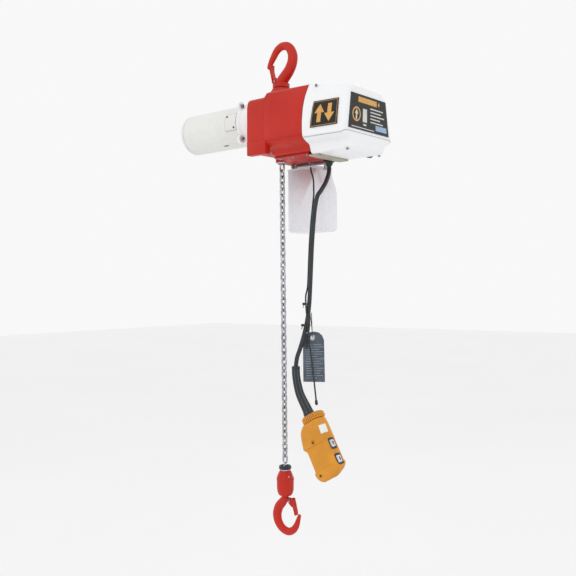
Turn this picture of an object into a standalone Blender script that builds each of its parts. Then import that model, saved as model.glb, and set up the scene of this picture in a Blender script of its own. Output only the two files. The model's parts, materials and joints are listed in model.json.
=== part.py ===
"""Electric chain hoist: red gear housing, motor, controller, load chain, hooks and push-button pendant.

Frame: +Z up, origin at the saddle of the top hook, on the load line. +X runs to the controller,
-X to the motor, and -Y is the front. Sizes are millimetres, scaled by UNIT to metres.
"""

import math

import bmesh
import bpy
from mathutils import Matrix, Vector

UNIT = 0.001
GAP = 0.3  # clearance between pieces that touch on the real object

# Chain and drive
WIRE_R = 2.0
PITCH = 12.1
SQUARE_R = 1.25 * WIRE_R  # corner radius of a square section with the round wire's area
LINK_HALF = PITCH / 2 + 1.6  # a little under PITCH / 2 + WIRE_R, so that the links bear on each other
LINK_REACH = 4.6
CHAIN_TOP = -224.4
CHAIN_LINKS = 49
END_LINK_TOP = -825.8
SHEAVE_R = 19.3
SHEAVE_Z = -170.0
MOTOR_Z = -137.5
PINION_R, INTER_R = 5.5, 33.0
INTER_PINION_R, LOAD_GEAR_R = 9.1, 45.5
TEETH_GAP = 0.4

# Housing and controller
HOUSING_X0, STEP_X0, STEP_X1, JOINT_X = -22.0, 20.0, 23.0, 114.0
COVER_X1 = 207.6
SKIRT_Z = -220.0
WALL = 4.0
PLATE_Z = -224.0

# Motor
MOTOR_R = 42.0
MOTOR_X0 = -255.0
EAR_R = 9.0

# Lower block and hook
BUMPER_Z = -828.5
BLOCK_TOP, BLOCK_BOTTOM = -838.6, -888.0
CHAIN_PIN_Z = -851.2
CHAIN_BORE = 8.2
GUIDE_R = 9.8
LOWER_LATCH_PIN = (15.0, -897.0)
TOP_LATCH_PIN = (-12.0, -60.0)

# Pendant
HANG_Y = -20.0
CORD_R = 4.2
SUPPORT_R = 1.6
PENDANT_TOP = (78.7, HANG_Y, -717.7)
PENDANT_TILT = math.radians(29.5)

FINISHES = {  # colour, roughness, metallic
    "red_paint": ((0.56, 0.042, 0.026), 0.4, 0.0),
    "white_paint": ((0.80, 0.81, 0.84), 0.35, 0.0),
    "grey_white": ((0.62, 0.63, 0.61), 0.45, 0.0),
    "beige_plastic": ((0.45, 0.41, 0.33), 0.5, 0.0),
    "nickel": ((0.62, 0.62, 0.64), 0.25, 1.0),
    "steel": ((0.42, 0.42, 0.44), 0.35, 1.0),
    "copper": ((0.60, 0.25, 0.12), 0.35, 1.0),
    "aluminium": ((0.60, 0.60, 0.62), 0.4, 1.0),
    "black_rubber": ((0.018, 0.019, 0.022), 0.6, 0.0),
    "black_plastic": ((0.02, 0.02, 0.022), 0.45, 0.0),
    "navy_rubber": ((0.02, 0.03, 0.06), 0.6, 0.0),
    "clear_plastic": ((0.75, 0.75, 0.82), 0.35, 0.0),
    "orange_plastic": ((0.78, 0.33, 0.03), 0.4, 0.0),
    "button_grey": ((0.55, 0.56, 0.58), 0.4, 0.0),
    "label_black": ((0.012, 0.011, 0.010), 0.3, 0.0),
    "tag_slate": ((0.09, 0.12, 0.16), 0.5, 0.0),
    "board_green": ((0.02, 0.13, 0.06), 0.5, 0.0),
}


# ---------------------------------------------------------------- helpers


def clear_scene():
    for obj in list(bpy.data.objects):
        bpy.data.objects.remove(obj)


def new_collection(name):
    made = bpy.data.collections.new(name)
    bpy.context.scene.collection.children.link(made)
    return made


def finish(name):
    found = bpy.data.materials.get(name)
    if found:
        return found
    colour, roughness, metallic = FINISHES[name]
    made = bpy.data.materials.new(name)
    made.use_nodes = True
    shader = made.node_tree.nodes["Principled BSDF"]
    shader.inputs["Base Color"].default_value = (*colour, 1.0)
    shader.inputs["Roughness"].default_value = roughness
    shader.inputs["Metallic"].default_value = metallic
    made.diffuse_color = (*colour, 1.0)
    return made


def place(obj, look):
    """Puts a piece in the parts collection with its material, or a cutter with the cutters."""
    if look is None:
        CUTTERS.objects.link(obj)
        obj.hide_render = True
        obj.display_type = "WIRE"
    else:
        PARTS.objects.link(obj)
        obj.data.materials.append(finish(look))
    return obj


def mesh_piece(name, bm, look, at=(0, 0, 0), turn=None):
    """An object from a bmesh in millimetres, with its own origin at the given point."""
    bmesh.ops.scale(bm, vec=(UNIT, UNIT, UNIT), verts=bm.verts)
    bmesh.ops.recalc_face_normals(bm, faces=bm.faces)
    mesh = bpy.data.meshes.new(name)
    bm.to_mesh(mesh)
    bm.free()
    obj = bpy.data.objects.new(name, mesh)
    rotation = (turn or Matrix.Identity(3)).to_4x4()
    obj.matrix_world = Matrix.Translation(Vector(at) * UNIT) @ rotation
    return place(obj, look)


def block(name, low, high, look, turn=None):
    """A box between two corners, turned about its own centre."""
    low, high = Vector(low), Vector(high)
    bm = bmesh.new()
    bmesh.ops.create_cube(bm, size=1.0)
    bmesh.ops.scale(bm, vec=high - low, verts=bm.verts)
    return mesh_piece(name, bm, look, (low + high) / 2, turn)


def along(start, end):
    """The turn that takes +Z to the direction from start to end."""
    return (Vector(end) - Vector(start)).to_track_quat("Z", "Y").to_matrix()


def rod(name, start, end, radius, look, end_radius=None, segments=20):
    """A round bar or cone from start to end."""
    start, end = Vector(start), Vector(end)
    bm = bmesh.new()
    bmesh.ops.create_cone(
        bm, cap_ends=True, segments=segments, radius1=radius,
        radius2=radius if end_radius is None else end_radius, depth=(end - start).length,
    )
    return mesh_piece(name, bm, look, (start + end) / 2, along(start, end))


def turned(name, profile, base, axis, look, steps=24, ring=False):
    """A profile of (radius, height) points that runs down its outer side, turned about an axis at base."""
    mesh = bpy.data.meshes.new(name)
    points = [(r * UNIT, 0, h * UNIT) for r, h in profile]
    edges = [(i, i + 1) for i in range(len(points) - 1)]
    if ring:
        edges.append((len(points) - 1, 0))
    mesh.from_pydata(points, edges, [])
    obj = bpy.data.objects.new(name, mesh)
    turn = along((0, 0, 0), axis).to_4x4()
    obj.matrix_world = Matrix.Translation(Vector(base) * UNIT) @ turn
    screw = obj.modifiers.new("Turn", "SCREW")
    screw.steps = screw.render_steps = steps
    screw.use_merge_vertices = True
    screw.merge_threshold = 1e-5
    return place(obj, look)


def wire(name, points, radius, look, resolution=2, radii=None, closed=False, flat=1.0):
    """A bent bar along points. Its section may change size, and may be flattened along Y."""
    curve = bpy.data.curves.new(name, "CURVE")
    curve.dimensions = "3D"
    curve.bevel_depth = radius * UNIT
    curve.bevel_resolution = resolution
    curve.use_fill_caps = True
    curve.twist_mode = "MINIMUM"
    spline = curve.splines.new("POLY")
    spline.points.add(len(points) - 1)
    spline.use_cyclic_u = closed
    for i, (point, here) in enumerate(zip(points, spline.points)):
        x, y, z = point
        here.co = (x * UNIT, y * UNIT / flat, z * UNIT, 1)
        here.radius = radii[i] / radius if radii else 1.0
    obj = bpy.data.objects.new(name, curve)
    obj.scale = (1, flat, 1)
    return place(obj, look)


def outline_piece(name, outline, thickness, at, turn, look):
    """A flat outline in its own XY plane, extruded to a thickness about that plane."""
    curve = bpy.data.curves.new(name, "CURVE")
    curve.dimensions = "2D"
    curve.fill_mode = "BOTH"
    curve.extrude = thickness * UNIT / 2
    spline = curve.splines.new("POLY")
    spline.points.add(len(outline) - 1)
    spline.use_cyclic_u = True
    for (x, y), here in zip(outline, spline.points):
        here.co = (x * UNIT, y * UNIT, 0, 1)
    obj = bpy.data.objects.new(name, curve)
    obj.matrix_world = Matrix.Translation(Vector(at) * UNIT) @ turn.to_4x4()
    return as_mesh(place(obj, look))


def as_mesh(obj):
    """Replaces a curve object by the mesh that it makes, with its caps welded on."""
    name = obj.name
    world = obj.matrix_world.copy()
    if obj.scale.y != 1.0:
        world = Matrix.LocRotScale(obj.location, obj.rotation_euler, obj.scale)
    graph = bpy.context.evaluated_depsgraph_get()
    graph.update()
    mesh = bpy.data.meshes.new_from_object(obj.evaluated_get(graph))
    bm = bmesh.new()
    bm.from_mesh(mesh)
    bmesh.ops.remove_doubles(bm, verts=bm.verts, dist=1e-6)
    bmesh.ops.recalc_face_normals(bm, faces=bm.faces)
    bm.to_mesh(mesh)
    bm.free()
    collections = list(obj.users_collection)
    hidden, shown_as = obj.hide_render, obj.display_type
    bpy.data.objects.remove(obj)
    made = bpy.data.objects.new(name, mesh)
    made.matrix_world = world
    made.hide_render, made.display_type = hidden, shown_as
    for collection in collections:
        collection.objects.link(made)
    return made


def loft(name, sections, look):
    """A closed solid through rings of points, with a flat cap on each end."""
    bm = bmesh.new()
    rings = [[bm.verts.new(point) for point in section] for section in sections]
    count = len(rings[0])
    for first, second in zip(rings, rings[1:]):
        for i in range(count):
            j = (i + 1) % count
            bm.faces.new((first[i], first[j], second[j], second[i]))
    bmesh.ops.triangulate(bm, faces=bm.faces)  # a bent four-sided face would leave a Boolean open
    bm.faces.new(rings[0])
    bm.faces.new(rings[-1])
    return mesh_piece(name, bm, look)


def combine(target, others, operation):
    for other in others:
        step = target.modifiers.new(other.name, "BOOLEAN")
        step.operation = operation
        step.object = other
        step.solver = "EXACT"
    return target


def cut(target, *cutters):
    return combine(target, cutters, "DIFFERENCE")


def join(target, *additions):
    return combine(target, additions, "UNION")


def arc(centre, radius, start, end, count):
    """Points on a circular arc, in degrees."""
    turns = [math.radians(start + (end - start) * i / count) for i in range(count + 1)]
    return [(centre[0] + radius * math.cos(t), centre[1] + radius * math.sin(t)) for t in turns]


def smooth(points, spacing):
    """Points at an even spacing along a Catmull-Rom curve through the given points."""
    padded = [points[0], *points, points[-1]]
    fine = []
    for a, b, c, d in zip(padded, padded[1:], padded[2:], padded[3:]):
        a, b, c, d = (Vector(p) for p in (a, b, c, d))
        for i in range(24):
            t = i / 24
            fine.append(
                0.5 * (2 * b + (c - a) * t + (2 * a - 5 * b + 4 * c - d) * t * t
                       + (3 * b - a - 3 * c + d) * t ** 3)
            )
    fine.append(Vector(points[-1]))
    length = sum((q - p).length for p, q in zip(fine, fine[1:]))
    count = max(2, round(length / spacing))
    even, walked, target = [fine[0]], 0.0, length / count
    for p, q in zip(fine, fine[1:]):
        step = (q - p).length
        while walked + step >= target - 1e-9 and len(even) < count:
            even.append(p.lerp(q, (target - walked) / step))
            target += length / count
        walked += step
    even.append(fine[-1])
    return even


FRONT = Matrix.Rotation(math.radians(90), 3, "X")  # an outline's own XY plane becomes XZ, facing -Y
SIDE = Matrix(((0, 0, 1), (1, 0, 0), (0, 1, 0)))  # an outline's own XY plane becomes YZ, facing +X


# ---------------------------------------------------------------- gear housing

SKIRT = [(80.3, -170), (80.5, -188), (79.3, -198.5), (70, -205.5), (58.5, -209.5), (54, SKIRT_Z)]
LOW_SKIRT = SKIRT[:-1] + [(54, -212)]
LOW_TOP = [(66, -107), (76, -111), (79.5, -122), (80, -144)]
HIGH_TOP = [(60, -97), (74, -103), (78.5, -120), (79.8, -144)]
JOINT_TOP = [(50, -96), (58, -99), (70, -122), (77, -144)]


def ring_at(x, half, inset=0.0, middle=-160.0):
    """A full ring of points at x from its half outline, drawn in by an inset."""
    shrunk = []
    for y, z in half:
        side = y - inset
        height = z - math.copysign(inset, z - middle)
        shrunk.append((side, height))
    right = [(x, y, z) for y, z in shrunk]
    left = [(x, -y, z) for y, z in reversed(shrunk)]
    return right + left


SADDLE = [  # height, left, right, half width
    (-112, -19, 70, 32), (-98, -18.5, 64, 29), (-88, -18, 50, 22), (-80, -17.5, 26, 19)
]


def saddle_ring(z, left, right, half):
    """A rounded rectangle around the hook's neck at a height."""
    corner, points = 12.0, []
    for cx, cy, start in (
        (right - corner, half - corner, 0), (left + corner, half - corner, 90),
        (left + corner, corner - half, 180), (right - corner, corner - half, 270),
    ):
        points += [(x, y, z) for x, y in arc((cx, cy), corner, start, start + 90, 3)]
    return points


def main_housing():
    stations = [
        (HOUSING_X0, LOW_TOP + LOW_SKIRT), (STEP_X0, LOW_TOP + LOW_SKIRT),
        (STEP_X1, HIGH_TOP + SKIRT), (JOINT_X, JOINT_TOP + SKIRT),
    ]
    shell = loft("main_housing", [ring_at(x, half) for x, half in stations], "red_paint")
    feet = [
        block(f"housing_foot_{i}", (HOUSING_X0 + 0.2, low, -218), (28, high, -189.4), None)
        for i, (low, high) in enumerate(((-80.9, -66), (66, 80.9)))
    ]
    saddle = loft("hook_saddle", [saddle_ring(*row) for row in SADDLE], None)
    boss = rod("hook_boss", (0, 0, -100), (0, 0, -76), 20, None, end_radius=18.5, segments=28)
    chain_boss = rod("chain_boss", (0, 0, SKIRT_Z), (0, 0, -209), 12.5, None, segments=28)
    slack_boss = block("slack_boss", (-12, 14, SKIRT_Z), (24, 52, -209), None)
    inner = [
        (HOUSING_X0 + WALL, LOW_TOP + LOW_SKIRT), (STEP_X0 + 1, LOW_TOP + LOW_SKIRT),
        (STEP_X1 + 1, HIGH_TOP + SKIRT), (JOINT_X + 1, JOINT_TOP + SKIRT),
    ]
    cavity = loft("housing_cavity", [ring_at(x, half, WALL) for x, half in inner], None)
    floor = block("housing_floor_cut", (STEP_X1 + 4, -49, -240), (JOINT_X + 2, 49, -203), None)
    hook_hole = rod("hook_hole", (0, 0, -130), (0, 0, -60), 8.4, None)
    nose = rod("motor_hole", (-30, 0, MOTOR_Z), (-10, 0, MOTOR_Z), 13.3, None)
    chain_hole = rod("chain_hole", (0, 0, -240), (0, 0, -200), GUIDE_R + GAP, None)
    slack_hole = rod("slack_hole", (0, 2 * SHEAVE_R, -240), (0, 2 * SHEAVE_R, -200), 9, None)
    join(shell, *feet, saddle, boss, chain_boss, slack_boss)
    return cut(shell, cavity, floor, hook_hole, nose, chain_hole, slack_hole)


def bottom_plate():
    top = SKIRT_Z - GAP
    plate = block("bottom_plate", (20, -47, PLATE_Z), (104, 50, top), "red_paint")
    back = block("plate_back", (-12, 14, PLATE_Z + 0.1), (72, 64, top - 0.1), None)
    bridge = block("plate_bridge", (0, -8, PLATE_Z + 0.2), (26, 20, top - 0.2), None)
    tongue = rod("plate_tongue", (0, 0, PLATE_Z + 0.3), (0, 0, top - 0.3), 12.5, None, segments=28)
    chain_hole = rod("plate_chain_hole", (0, 0, -240), (0, 0, -210), GUIDE_R + GAP, None)
    slack_hole = rod("plate_slack_hole", (0, 2 * SHEAVE_R, -240), (0, 2 * SHEAVE_R, -210), 9, None)
    join(plate, back, bridge, tongue)
    return cut(plate, chain_hole, slack_hole)


def chain_guide():
    bore = CHAIN_BORE
    profile = [(bore, 0), (GUIDE_R, 0), (GUIDE_R, -8.4), (GUIDE_R - 0.5, -9), (bore, -9)]
    return turned("chain_guide", profile, (0, 0, -217.5), (0, 0, 1), "nickel", 28, ring=True)


def gear_plate():
    plate = block("gear_plate", (64, -60, -202), (69, 60, -110), "aluminium")
    shaft_y, shaft_z = INTER_AXIS
    bores = [
        rod("inter_bore", (60, shaft_y, shaft_z), (75, shaft_y, shaft_z), 5.3, None),
        rod("sheave_bore", (60, SHEAVE_R, SHEAVE_Z), (75, SHEAVE_R, SHEAVE_Z), 8.3, None),
    ]
    return cut(plate, *bores)


# ---------------------------------------------------------------- controller

END_TOP = [(46, -109), (58, -115), (65, -128), (71.5, -158)]
END_SKIRT = [(75, -175), (77.5, -190), (79.5, -199.5), (70, -206.5), (60, -210), (52, -226)]
COVER_SKIRT = SKIRT[:-1] + [(53, -226)]


def controller_cover():
    corner = 7.0
    stations = [
        (JOINT_X + GAP, JOINT_TOP + COVER_SKIRT, 0.0), (COVER_X1 - corner, END_TOP + END_SKIRT, 0.0),
        (COVER_X1 - 2, END_TOP + END_SKIRT, 2.0), (COVER_X1, END_TOP + END_SKIRT, corner),
    ]
    shell = loft("controller_cover", [ring_at(x, half, inset) for x, half, inset in stations], "white_paint")
    inner = [
        (JOINT_X - 1, JOINT_TOP + COVER_SKIRT, 3.0), (COVER_X1 - corner, END_TOP + END_SKIRT, 3.0),
        (COVER_X1 - 3, END_TOP + END_SKIRT, 7.0),
    ]
    cavity = loft("cover_cavity", [ring_at(x, half, inset) for x, half, inset in inner], None)
    inlet = rod("inlet_hole", (165, 40, -218), (165, 70, -218), 6.0, None)
    return cut(shell, cavity, inlet)


def controller_parts():
    block("controller_base", (JOINT_X + 1, -58, -203), (JOINT_X + 4, 58, -114), "grey_white")
    block("seal_strip", (JOINT_X - 8, -48, -229), (JOINT_X + 14, 48, -226.3), "beige_plastic")
    block("control_board", (JOINT_X + 14, -55, -200), (JOINT_X + 15.6, 50, -125), "board_green")
    block("power_relay", (JOINT_X + 16, -45, -190), (JOINT_X + 48, -10, -140), "black_plastic")
    block("terminal_block", (JOINT_X + 16, 5, -195), (JOINT_X + 34, 45, -170), "grey_white")
    turned(
        "power_gland", [(0, 14), (5, 14), (7, 12), (7, 3.5), (5.5, 3.5), (5.5, -8), (0, -8)],
        (165, 57.5, -218), (0, 1, 0), "black_plastic",
    )


def cover_side(x, z):
    """Half the cover's width at a place on its side."""
    t = (x - JOINT_X) / (COVER_X1 - 7.0 - JOINT_X)
    near, far = JOINT_TOP + COVER_SKIRT, END_TOP + END_SKIRT
    half = [(a + (c - a) * t, b + (d - b) * t) for (a, b), (c, d) in zip(near, far)]
    for (y0, z0), (y1, z1) in zip(half, half[1:]):
        if z1 <= z <= z0:
            return y0 + (y1 - y0) * (z - z0) / (z1 - z0)
    return half[-1][0]


def side_label():
    """A thin panel that follows the leaning front of the cover."""
    rows, columns, low, high = 8, 5, -185.0, -137.0
    bm = bmesh.new()
    grid = []
    for i in range(rows + 1):
        z = low + (high - low) * i / rows
        left, width = 134.0 + 4.0 * i / rows, 58.5 - 6.0 * i / rows
        xs = [left + width * j / columns for j in range(columns + 1)]
        grid.append([bm.verts.new((x, -cover_side(x, z) - 0.8, z)) for x in xs])
    for lower, upper in zip(grid, grid[1:]):
        for j in range(columns):
            bm.faces.new((lower[j], lower[j + 1], upper[j + 1], upper[j]))
    panel_piece = mesh_piece("side_label", bm, "label_black")
    solid = panel_piece.modifiers.new("Thickness", "SOLIDIFY")
    solid.thickness = 0.8 * UNIT
    solid.offset = 1.0
    return panel_piece


def end_label():
    low, high = -191, -127
    corners = [(COVER_X1, -66, low), (COVER_X1, 66, low), (COVER_X1, 56, high), (COVER_X1, -56, high)]
    return panel("end_label", corners, (1, 0, 0), 0.8, "label_black")


def panel(name, corners, normal, thickness, look):
    """A thin plate from four corners, set off along a normal by the gap."""
    out = Vector(normal)
    near = [Vector(c) + out * GAP for c in corners]
    far = [point + out * thickness for point in near]
    return loft(name, [near, far], look)


# ---------------------------------------------------------------- motor


def motor():
    axis, base = (-1, 0, 0), (0, 0, MOTOR_Z)
    flange = [
        (38, 84), (44, 84), (44, 76), (MOTOR_R, 74), (MOTOR_R, 22.4), (13.4, 22.4), (13.4, 36), (38, 36)
    ]
    drum = as_mesh(turned("motor_flange", flange, base, axis, "white_paint", 40, ring=True))
    ears = []
    for i in range(4):
        turn = Matrix.Rotation(math.radians(45 + 90 * i), 3, "X")
        start = turn @ Vector((0, 0, 47)) + Vector((-83.9, 0, MOTOR_Z))
        ears.append(rod(f"flange_ear_{i}", start, start + Vector((7.8, 0, 0)), EAR_R, None))
    inside = rod("flange_inside", (-90, 0, MOTOR_Z), (-70, 0, MOTOR_Z), 38.1, None, segments=40)
    join(drum, *ears)
    cut(drum, inside)
    length = -MOTOR_X0
    cover = [
        (MOTOR_R - 3, length - 13), (MOTOR_R, length - 13), (MOTOR_R, 84 + GAP), (MOTOR_R - 3, 84 + GAP)
    ]
    turned("motor_cover", cover, base, axis, "grey_white", 40, ring=True)
    cap = [
        (0, length), (MOTOR_R - 11, length), (MOTOR_R - 4, length - 3), (MOTOR_R, length - 11),
        (MOTOR_R, length - 13 + GAP), (0, length - 13 + GAP),
    ]
    turned("motor_end_cap", cap, base, axis, "grey_white", 40)
    stator = [(24, 165), (MOTOR_R - 3.4, 165), (MOTOR_R - 3.4, 95), (24, 95)]
    turned("stator", stator, base, axis, "steel", 24, ring=True)
    turned("drive_bearing", [(6.4, 34), (13, 34), (13, 24), (6.4, 24)], base, axis, "steel", 20, ring=True)
    turned("end_bearing", [(6.4, 238), (13, 238), (13, 229), (6.4, 229)], base, axis, "steel", 20, ring=True)
    armature = [
        (0, 239), (6, 239), (6, 222), (6, 164), (21, 163), (21, 97), (6, 96), (6, 22), (4, 20),
        (4, -43), (0, -43),
    ]
    spindle = turned("armature", armature, base, axis, "steel", 20)
    pinion = gear("pinion_blank", PINION_R, 7, 29, 42, (0, MOTOR_Z), 0.0, None)
    join(as_mesh(spindle), pinion)
    turned("commutator", [(6.3, 196), (15, 196), (15, 176), (6.3, 176)], base, axis, "copper", 20, ring=True)
    disc = [(6.3, 70), (33, 70), (33, 68), (6.3, 68)]
    fan = turned("cooling_fan", disc, base, axis, "black_plastic", 20, ring=True)
    blades = []
    for i in range(9):
        turn = Matrix.Rotation(math.tau * i / 9, 3, "X")
        centre = turn @ Vector((0, 0, 22)) + Vector((-74, 0, MOTOR_Z))
        reach = Vector((5, 0.8, 10))
        blades.append(block(f"fan_blade_{i}", centre - reach, centre + reach, None, turn))
    join(fan, *blades)
    holder = [(17, 200), (37, 200), (37, 192), (17, 192)]
    turned("brush_holder", holder, base, axis, "black_plastic", ring=True)


def brush_cover():
    """The curved access plate over the brushes, at the front of the motor near its flange."""
    skin = [(MOTOR_R + GAP, 117), (MOTOR_R + 1.8, 117), (MOTOR_R + 1.8, 85.5), (MOTOR_R + GAP, 85.5)]
    plate = as_mesh(turned("brush_cover", skin, (0, 0, MOTOR_Z), (-1, 0, 0), "grey_white", 48, ring=True))
    window = block("brush_cover_window", (-116, -60, -151), (-86, -20, -118), None)
    return combine(plate, [window], "INTERSECT")


# ---------------------------------------------------------------- gears


def gear(name, radius, teeth, x0, x1, centre, phase, look, bore=0.0):
    """A spur gear between x0 and x1. Its tips lie on the pitch circle, so that gears clear each other."""
    depth = 0.5 * math.tau * radius / teeth
    outline = []
    for i in range(teeth):
        for part, r in ((0.0, radius - depth), (0.3, radius - depth), (0.45, radius), (0.8, radius)):
            t = math.tau * (i + part) / teeth + phase
            outline.append((r * math.cos(t), r * math.sin(t)))
    at = ((x0 + x1) / 2, centre[0], centre[1])
    made = outline_piece(name, outline, x1 - x0, at, SIDE, look)
    if bore:
        hole = rod(name + "_bore", (x0 - 5, *centre), (x1 + 5, *centre), bore, None)
        cut(made, hole)
    return made


def two_circles(first, first_r, second, second_r):
    """The crossing of two circles that lies nearer the front."""
    a, b = Vector(first), Vector(second)
    span = (b - a).length
    foot = (first_r ** 2 - second_r ** 2 + span ** 2) / (2 * span)
    rise = math.sqrt(first_r ** 2 - foot ** 2)
    unit = (b - a) / span
    options = [a + unit * foot + Vector((unit.y, -unit.x)) * side * rise for side in (-1, 1)]
    return tuple(min(options, key=lambda p: p.x))


INTER_AXIS = two_circles(
    (0, MOTOR_Z), PINION_R + INTER_R + TEETH_GAP,
    (SHEAVE_R, SHEAVE_Z), INTER_PINION_R + LOAD_GEAR_R + TEETH_GAP,
)


def gear_train():
    y, z = INTER_AXIS
    inter = gear("intermediate_gear", INTER_R, 42, 29, 39, INTER_AXIS, 0.0, "steel")
    shaft = rod("inter_shaft", (24, y, z), (68, y, z), 5, None)
    pinion = gear("inter_pinion", INTER_PINION_R, 9, 38, 60, INTER_AXIS, 0.0, None)
    join(inter, shaft, pinion)
    gear("load_gear", LOAD_GEAR_R, 45, 47, 59, (SHEAVE_R, SHEAVE_Z), 0.0, "steel", bore=8.3)
    rim = WIRE_R + 1.0
    profile = [
        (0, 16), (8, 16), (8, 9), (SHEAVE_R + rim, 9), (SHEAVE_R + rim, 5), (SHEAVE_R - 1, 2.4),
        (SHEAVE_R - 1, -2.4), (SHEAVE_R + rim, -5), (SHEAVE_R + rim, -9), (8, -9), (8, -67), (0, -67),
    ]
    sheave = turned("load_sheave", profile, (0, SHEAVE_R, SHEAVE_Z), (-1, 0, 0), "steel", 20)
    pockets = []
    for i in range(5):
        turn = Matrix.Rotation(math.tau * i / 5, 3, "X")
        centre = turn @ Vector((0, 0, SHEAVE_R + 4.2)) + Vector((0, SHEAVE_R, SHEAVE_Z))
        half = Vector((7, 10.5, 6))
        pockets.append(block(f"pocket_{i}", centre - half, centre + half, None, turn))
    return cut(sheave, *pockets)


# ---------------------------------------------------------------- load chain


def link_points(z, sideways):
    """The centreline of one chain link."""
    straight = LINK_HALF - LINK_REACH
    points = []
    for start, centre in ((0, straight), (180, -straight)):
        for px, pz in arc((0, centre), LINK_REACH, start, start + 180, 3):
            points.append((0, px, z + pz) if sideways else (px, 0, z + pz))
    return points


def chain_of(name, top, count, first_sideways):
    """One solid of links that bear on each other, hanging down from a height."""
    middle = top - LINK_HALF - SQUARE_R
    links = []
    for i in range(count):
        points = link_points(middle - i * PITCH, (i + first_sideways) % 2)
        look = "nickel" if i == 0 else None
        link = wire(name if i == 0 else f"{name}_{i}", points, SQUARE_R, look, 0, closed=True)
        links.append(as_mesh(link))
    return join(links[0], *links[1:])


def slack_chain():
    """The chain's free end, from the sheave's back side down to the floor of the container."""
    y = 2 * SHEAVE_R
    route = smooth([(0, y, -226), (0, y + 1, -262), (8, y + 8, -310), (24, 52, -345), (44, 58, -352)], 8)
    return wire("slack_chain", route, 4.0, "nickel", 1)


CONTAINER_Y, CONTAINER_DEPTH, CONTAINER_WALL = 55.0, 48.0, 2.5


def container_outline(inset, top):
    right = [(67, top), (68, -250), (80, -280), (80, -338)]
    left = [(-13, top)]
    corner = arc((60, -342), 20 - inset, 0, -90, 4) + arc((3, -346), 16 - inset, -90, -180, 4)
    return [(x - inset, z) for x, z in right] + corner + [(x + inset, z) for x, z in left]


def chain_container():
    at = (0, CONTAINER_Y, 0)
    outer = outline_piece(
        "chain_container", container_outline(0, -233), CONTAINER_DEPTH, at, FRONT, "clear_plastic"
    )
    inside = outline_piece(
        "container_inside", container_outline(CONTAINER_WALL, -225), CONTAINER_DEPTH - 2 * CONTAINER_WALL,
        at, FRONT, None,
    )
    return cut(outer, inside)


def container_bracket():
    """A strap under the bottom plate with two ears that hold the container's rim."""
    top = PLATE_Z - GAP
    strap = block("container_bracket", (-16, 47, top - 2), (70, 62, top), "steel")
    ears = [
        block("bracket_ear_left", (-16, 48, -238), (-13.5, 61, top - 1), None),
        block("bracket_ear_right", (68.5, 48, -238), (70, 61, top - 1), None),
    ]
    return join(strap, *ears)


# ---------------------------------------------------------------- hooks


def top_hook():
    path = [
        (-31, -28, 3.5), (-26, -19, 6), (-19, -9, 7), (-10, 2, 7.6), (0, 7.4, 8), (9, 8, 8), (19, 4.5, 8.6),
        (27, -5, 9.6), (30.5, -17, 10.5), (28.5, -30, 11), (21, -43, 11.5), (11, -53, 12), (3, -61, 13),
        (0, -70, 14),
    ]
    middles, radii = [(x, 0, z) for x, z, _ in path], [r for *_, r in path]
    hook = wire("top_hook", middles, 8, "red_paint", 3, radii, flat=0.8)
    hook = as_mesh(hook)
    collar = rod("top_collar", (0, 0, -75.4), (0, 0, -66), 17, None, segments=28)
    shank = rod("top_shank", (0, 0, -125.5), (0, 0, -66), 7.5, None)
    x, z = TOP_LATCH_PIN
    lug = block("top_lug", (x - 2.8, -2.5, z - 3.2), (0, 2.5, z + 4), None)
    join(hook, collar, shank)
    slots = [
        block(f"top_slot_{i}", (-26, low, z - 5.6), (-2.5, high, z + 12), None)
        for i, (low, high) in enumerate(((-20, -2.6), (2.6, 20)))
    ]
    cut(hook, *slots)
    join(hook, lug)
    cut(hook, rod("top_lug_hole", (x, -20, z), (x, 20, z), 1.9, None, segments=12))
    rod("hook_nut", (0, 0, -125), (0, 0, -116.5), 13, "steel", segments=6)
    nut_hole = rod("nut_hole", (0, 0, -130), (0, 0, -110), 7.9, None)
    cut(bpy.data.objects["hook_nut"], nut_hole)
    rod("top_latch_pin", (x, -7.4, z), (x, 7.4, z), 1.5, "steel", segments=12)
    latch("top_latch", TOP_LATCH_PIN, (-20, -30.5), 1)


def latch(name, pin, tip, side):
    """A sheet latch: a strip from the pin to the hook's tip, with two cheeks that straddle the lug."""
    px, pz = pin
    tx, tz = tip
    run = Vector((tx - px, 0, tz - pz))
    length = run.length
    turn = Matrix.Rotation(math.atan2(run.x, run.z), 3, "Y")
    origin = Vector((px, 0, pz))
    back = -side * 6.5

    def part(part_name, low, high, look):
        low, high = Vector(low), Vector(high)
        middle = turn @ ((low + high) / 2) + origin
        half = (high - low) / 2
        return block(part_name, middle - half, middle + half, look, turn)

    near, far = sorted((back, back + side * 1.8))
    strip = part(name, (near, -6, -2), (far, 6, length), "red_paint")
    inner, outer = 3.2, 6.0
    cheeks = [
        part(f"{name}_cheek_{i}", (min(back, side * 4), low, -3.4), (max(back, side * 4), high, 9), None)
        for i, (low, high) in enumerate(((-outer, -inner), (inner, outer)))
    ]
    join(strip, *cheeks)
    return cut(strip, rod(f"{name}_hole", (px, -20, pz), (px, 20, pz), 1.9, None, segments=12))


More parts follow.
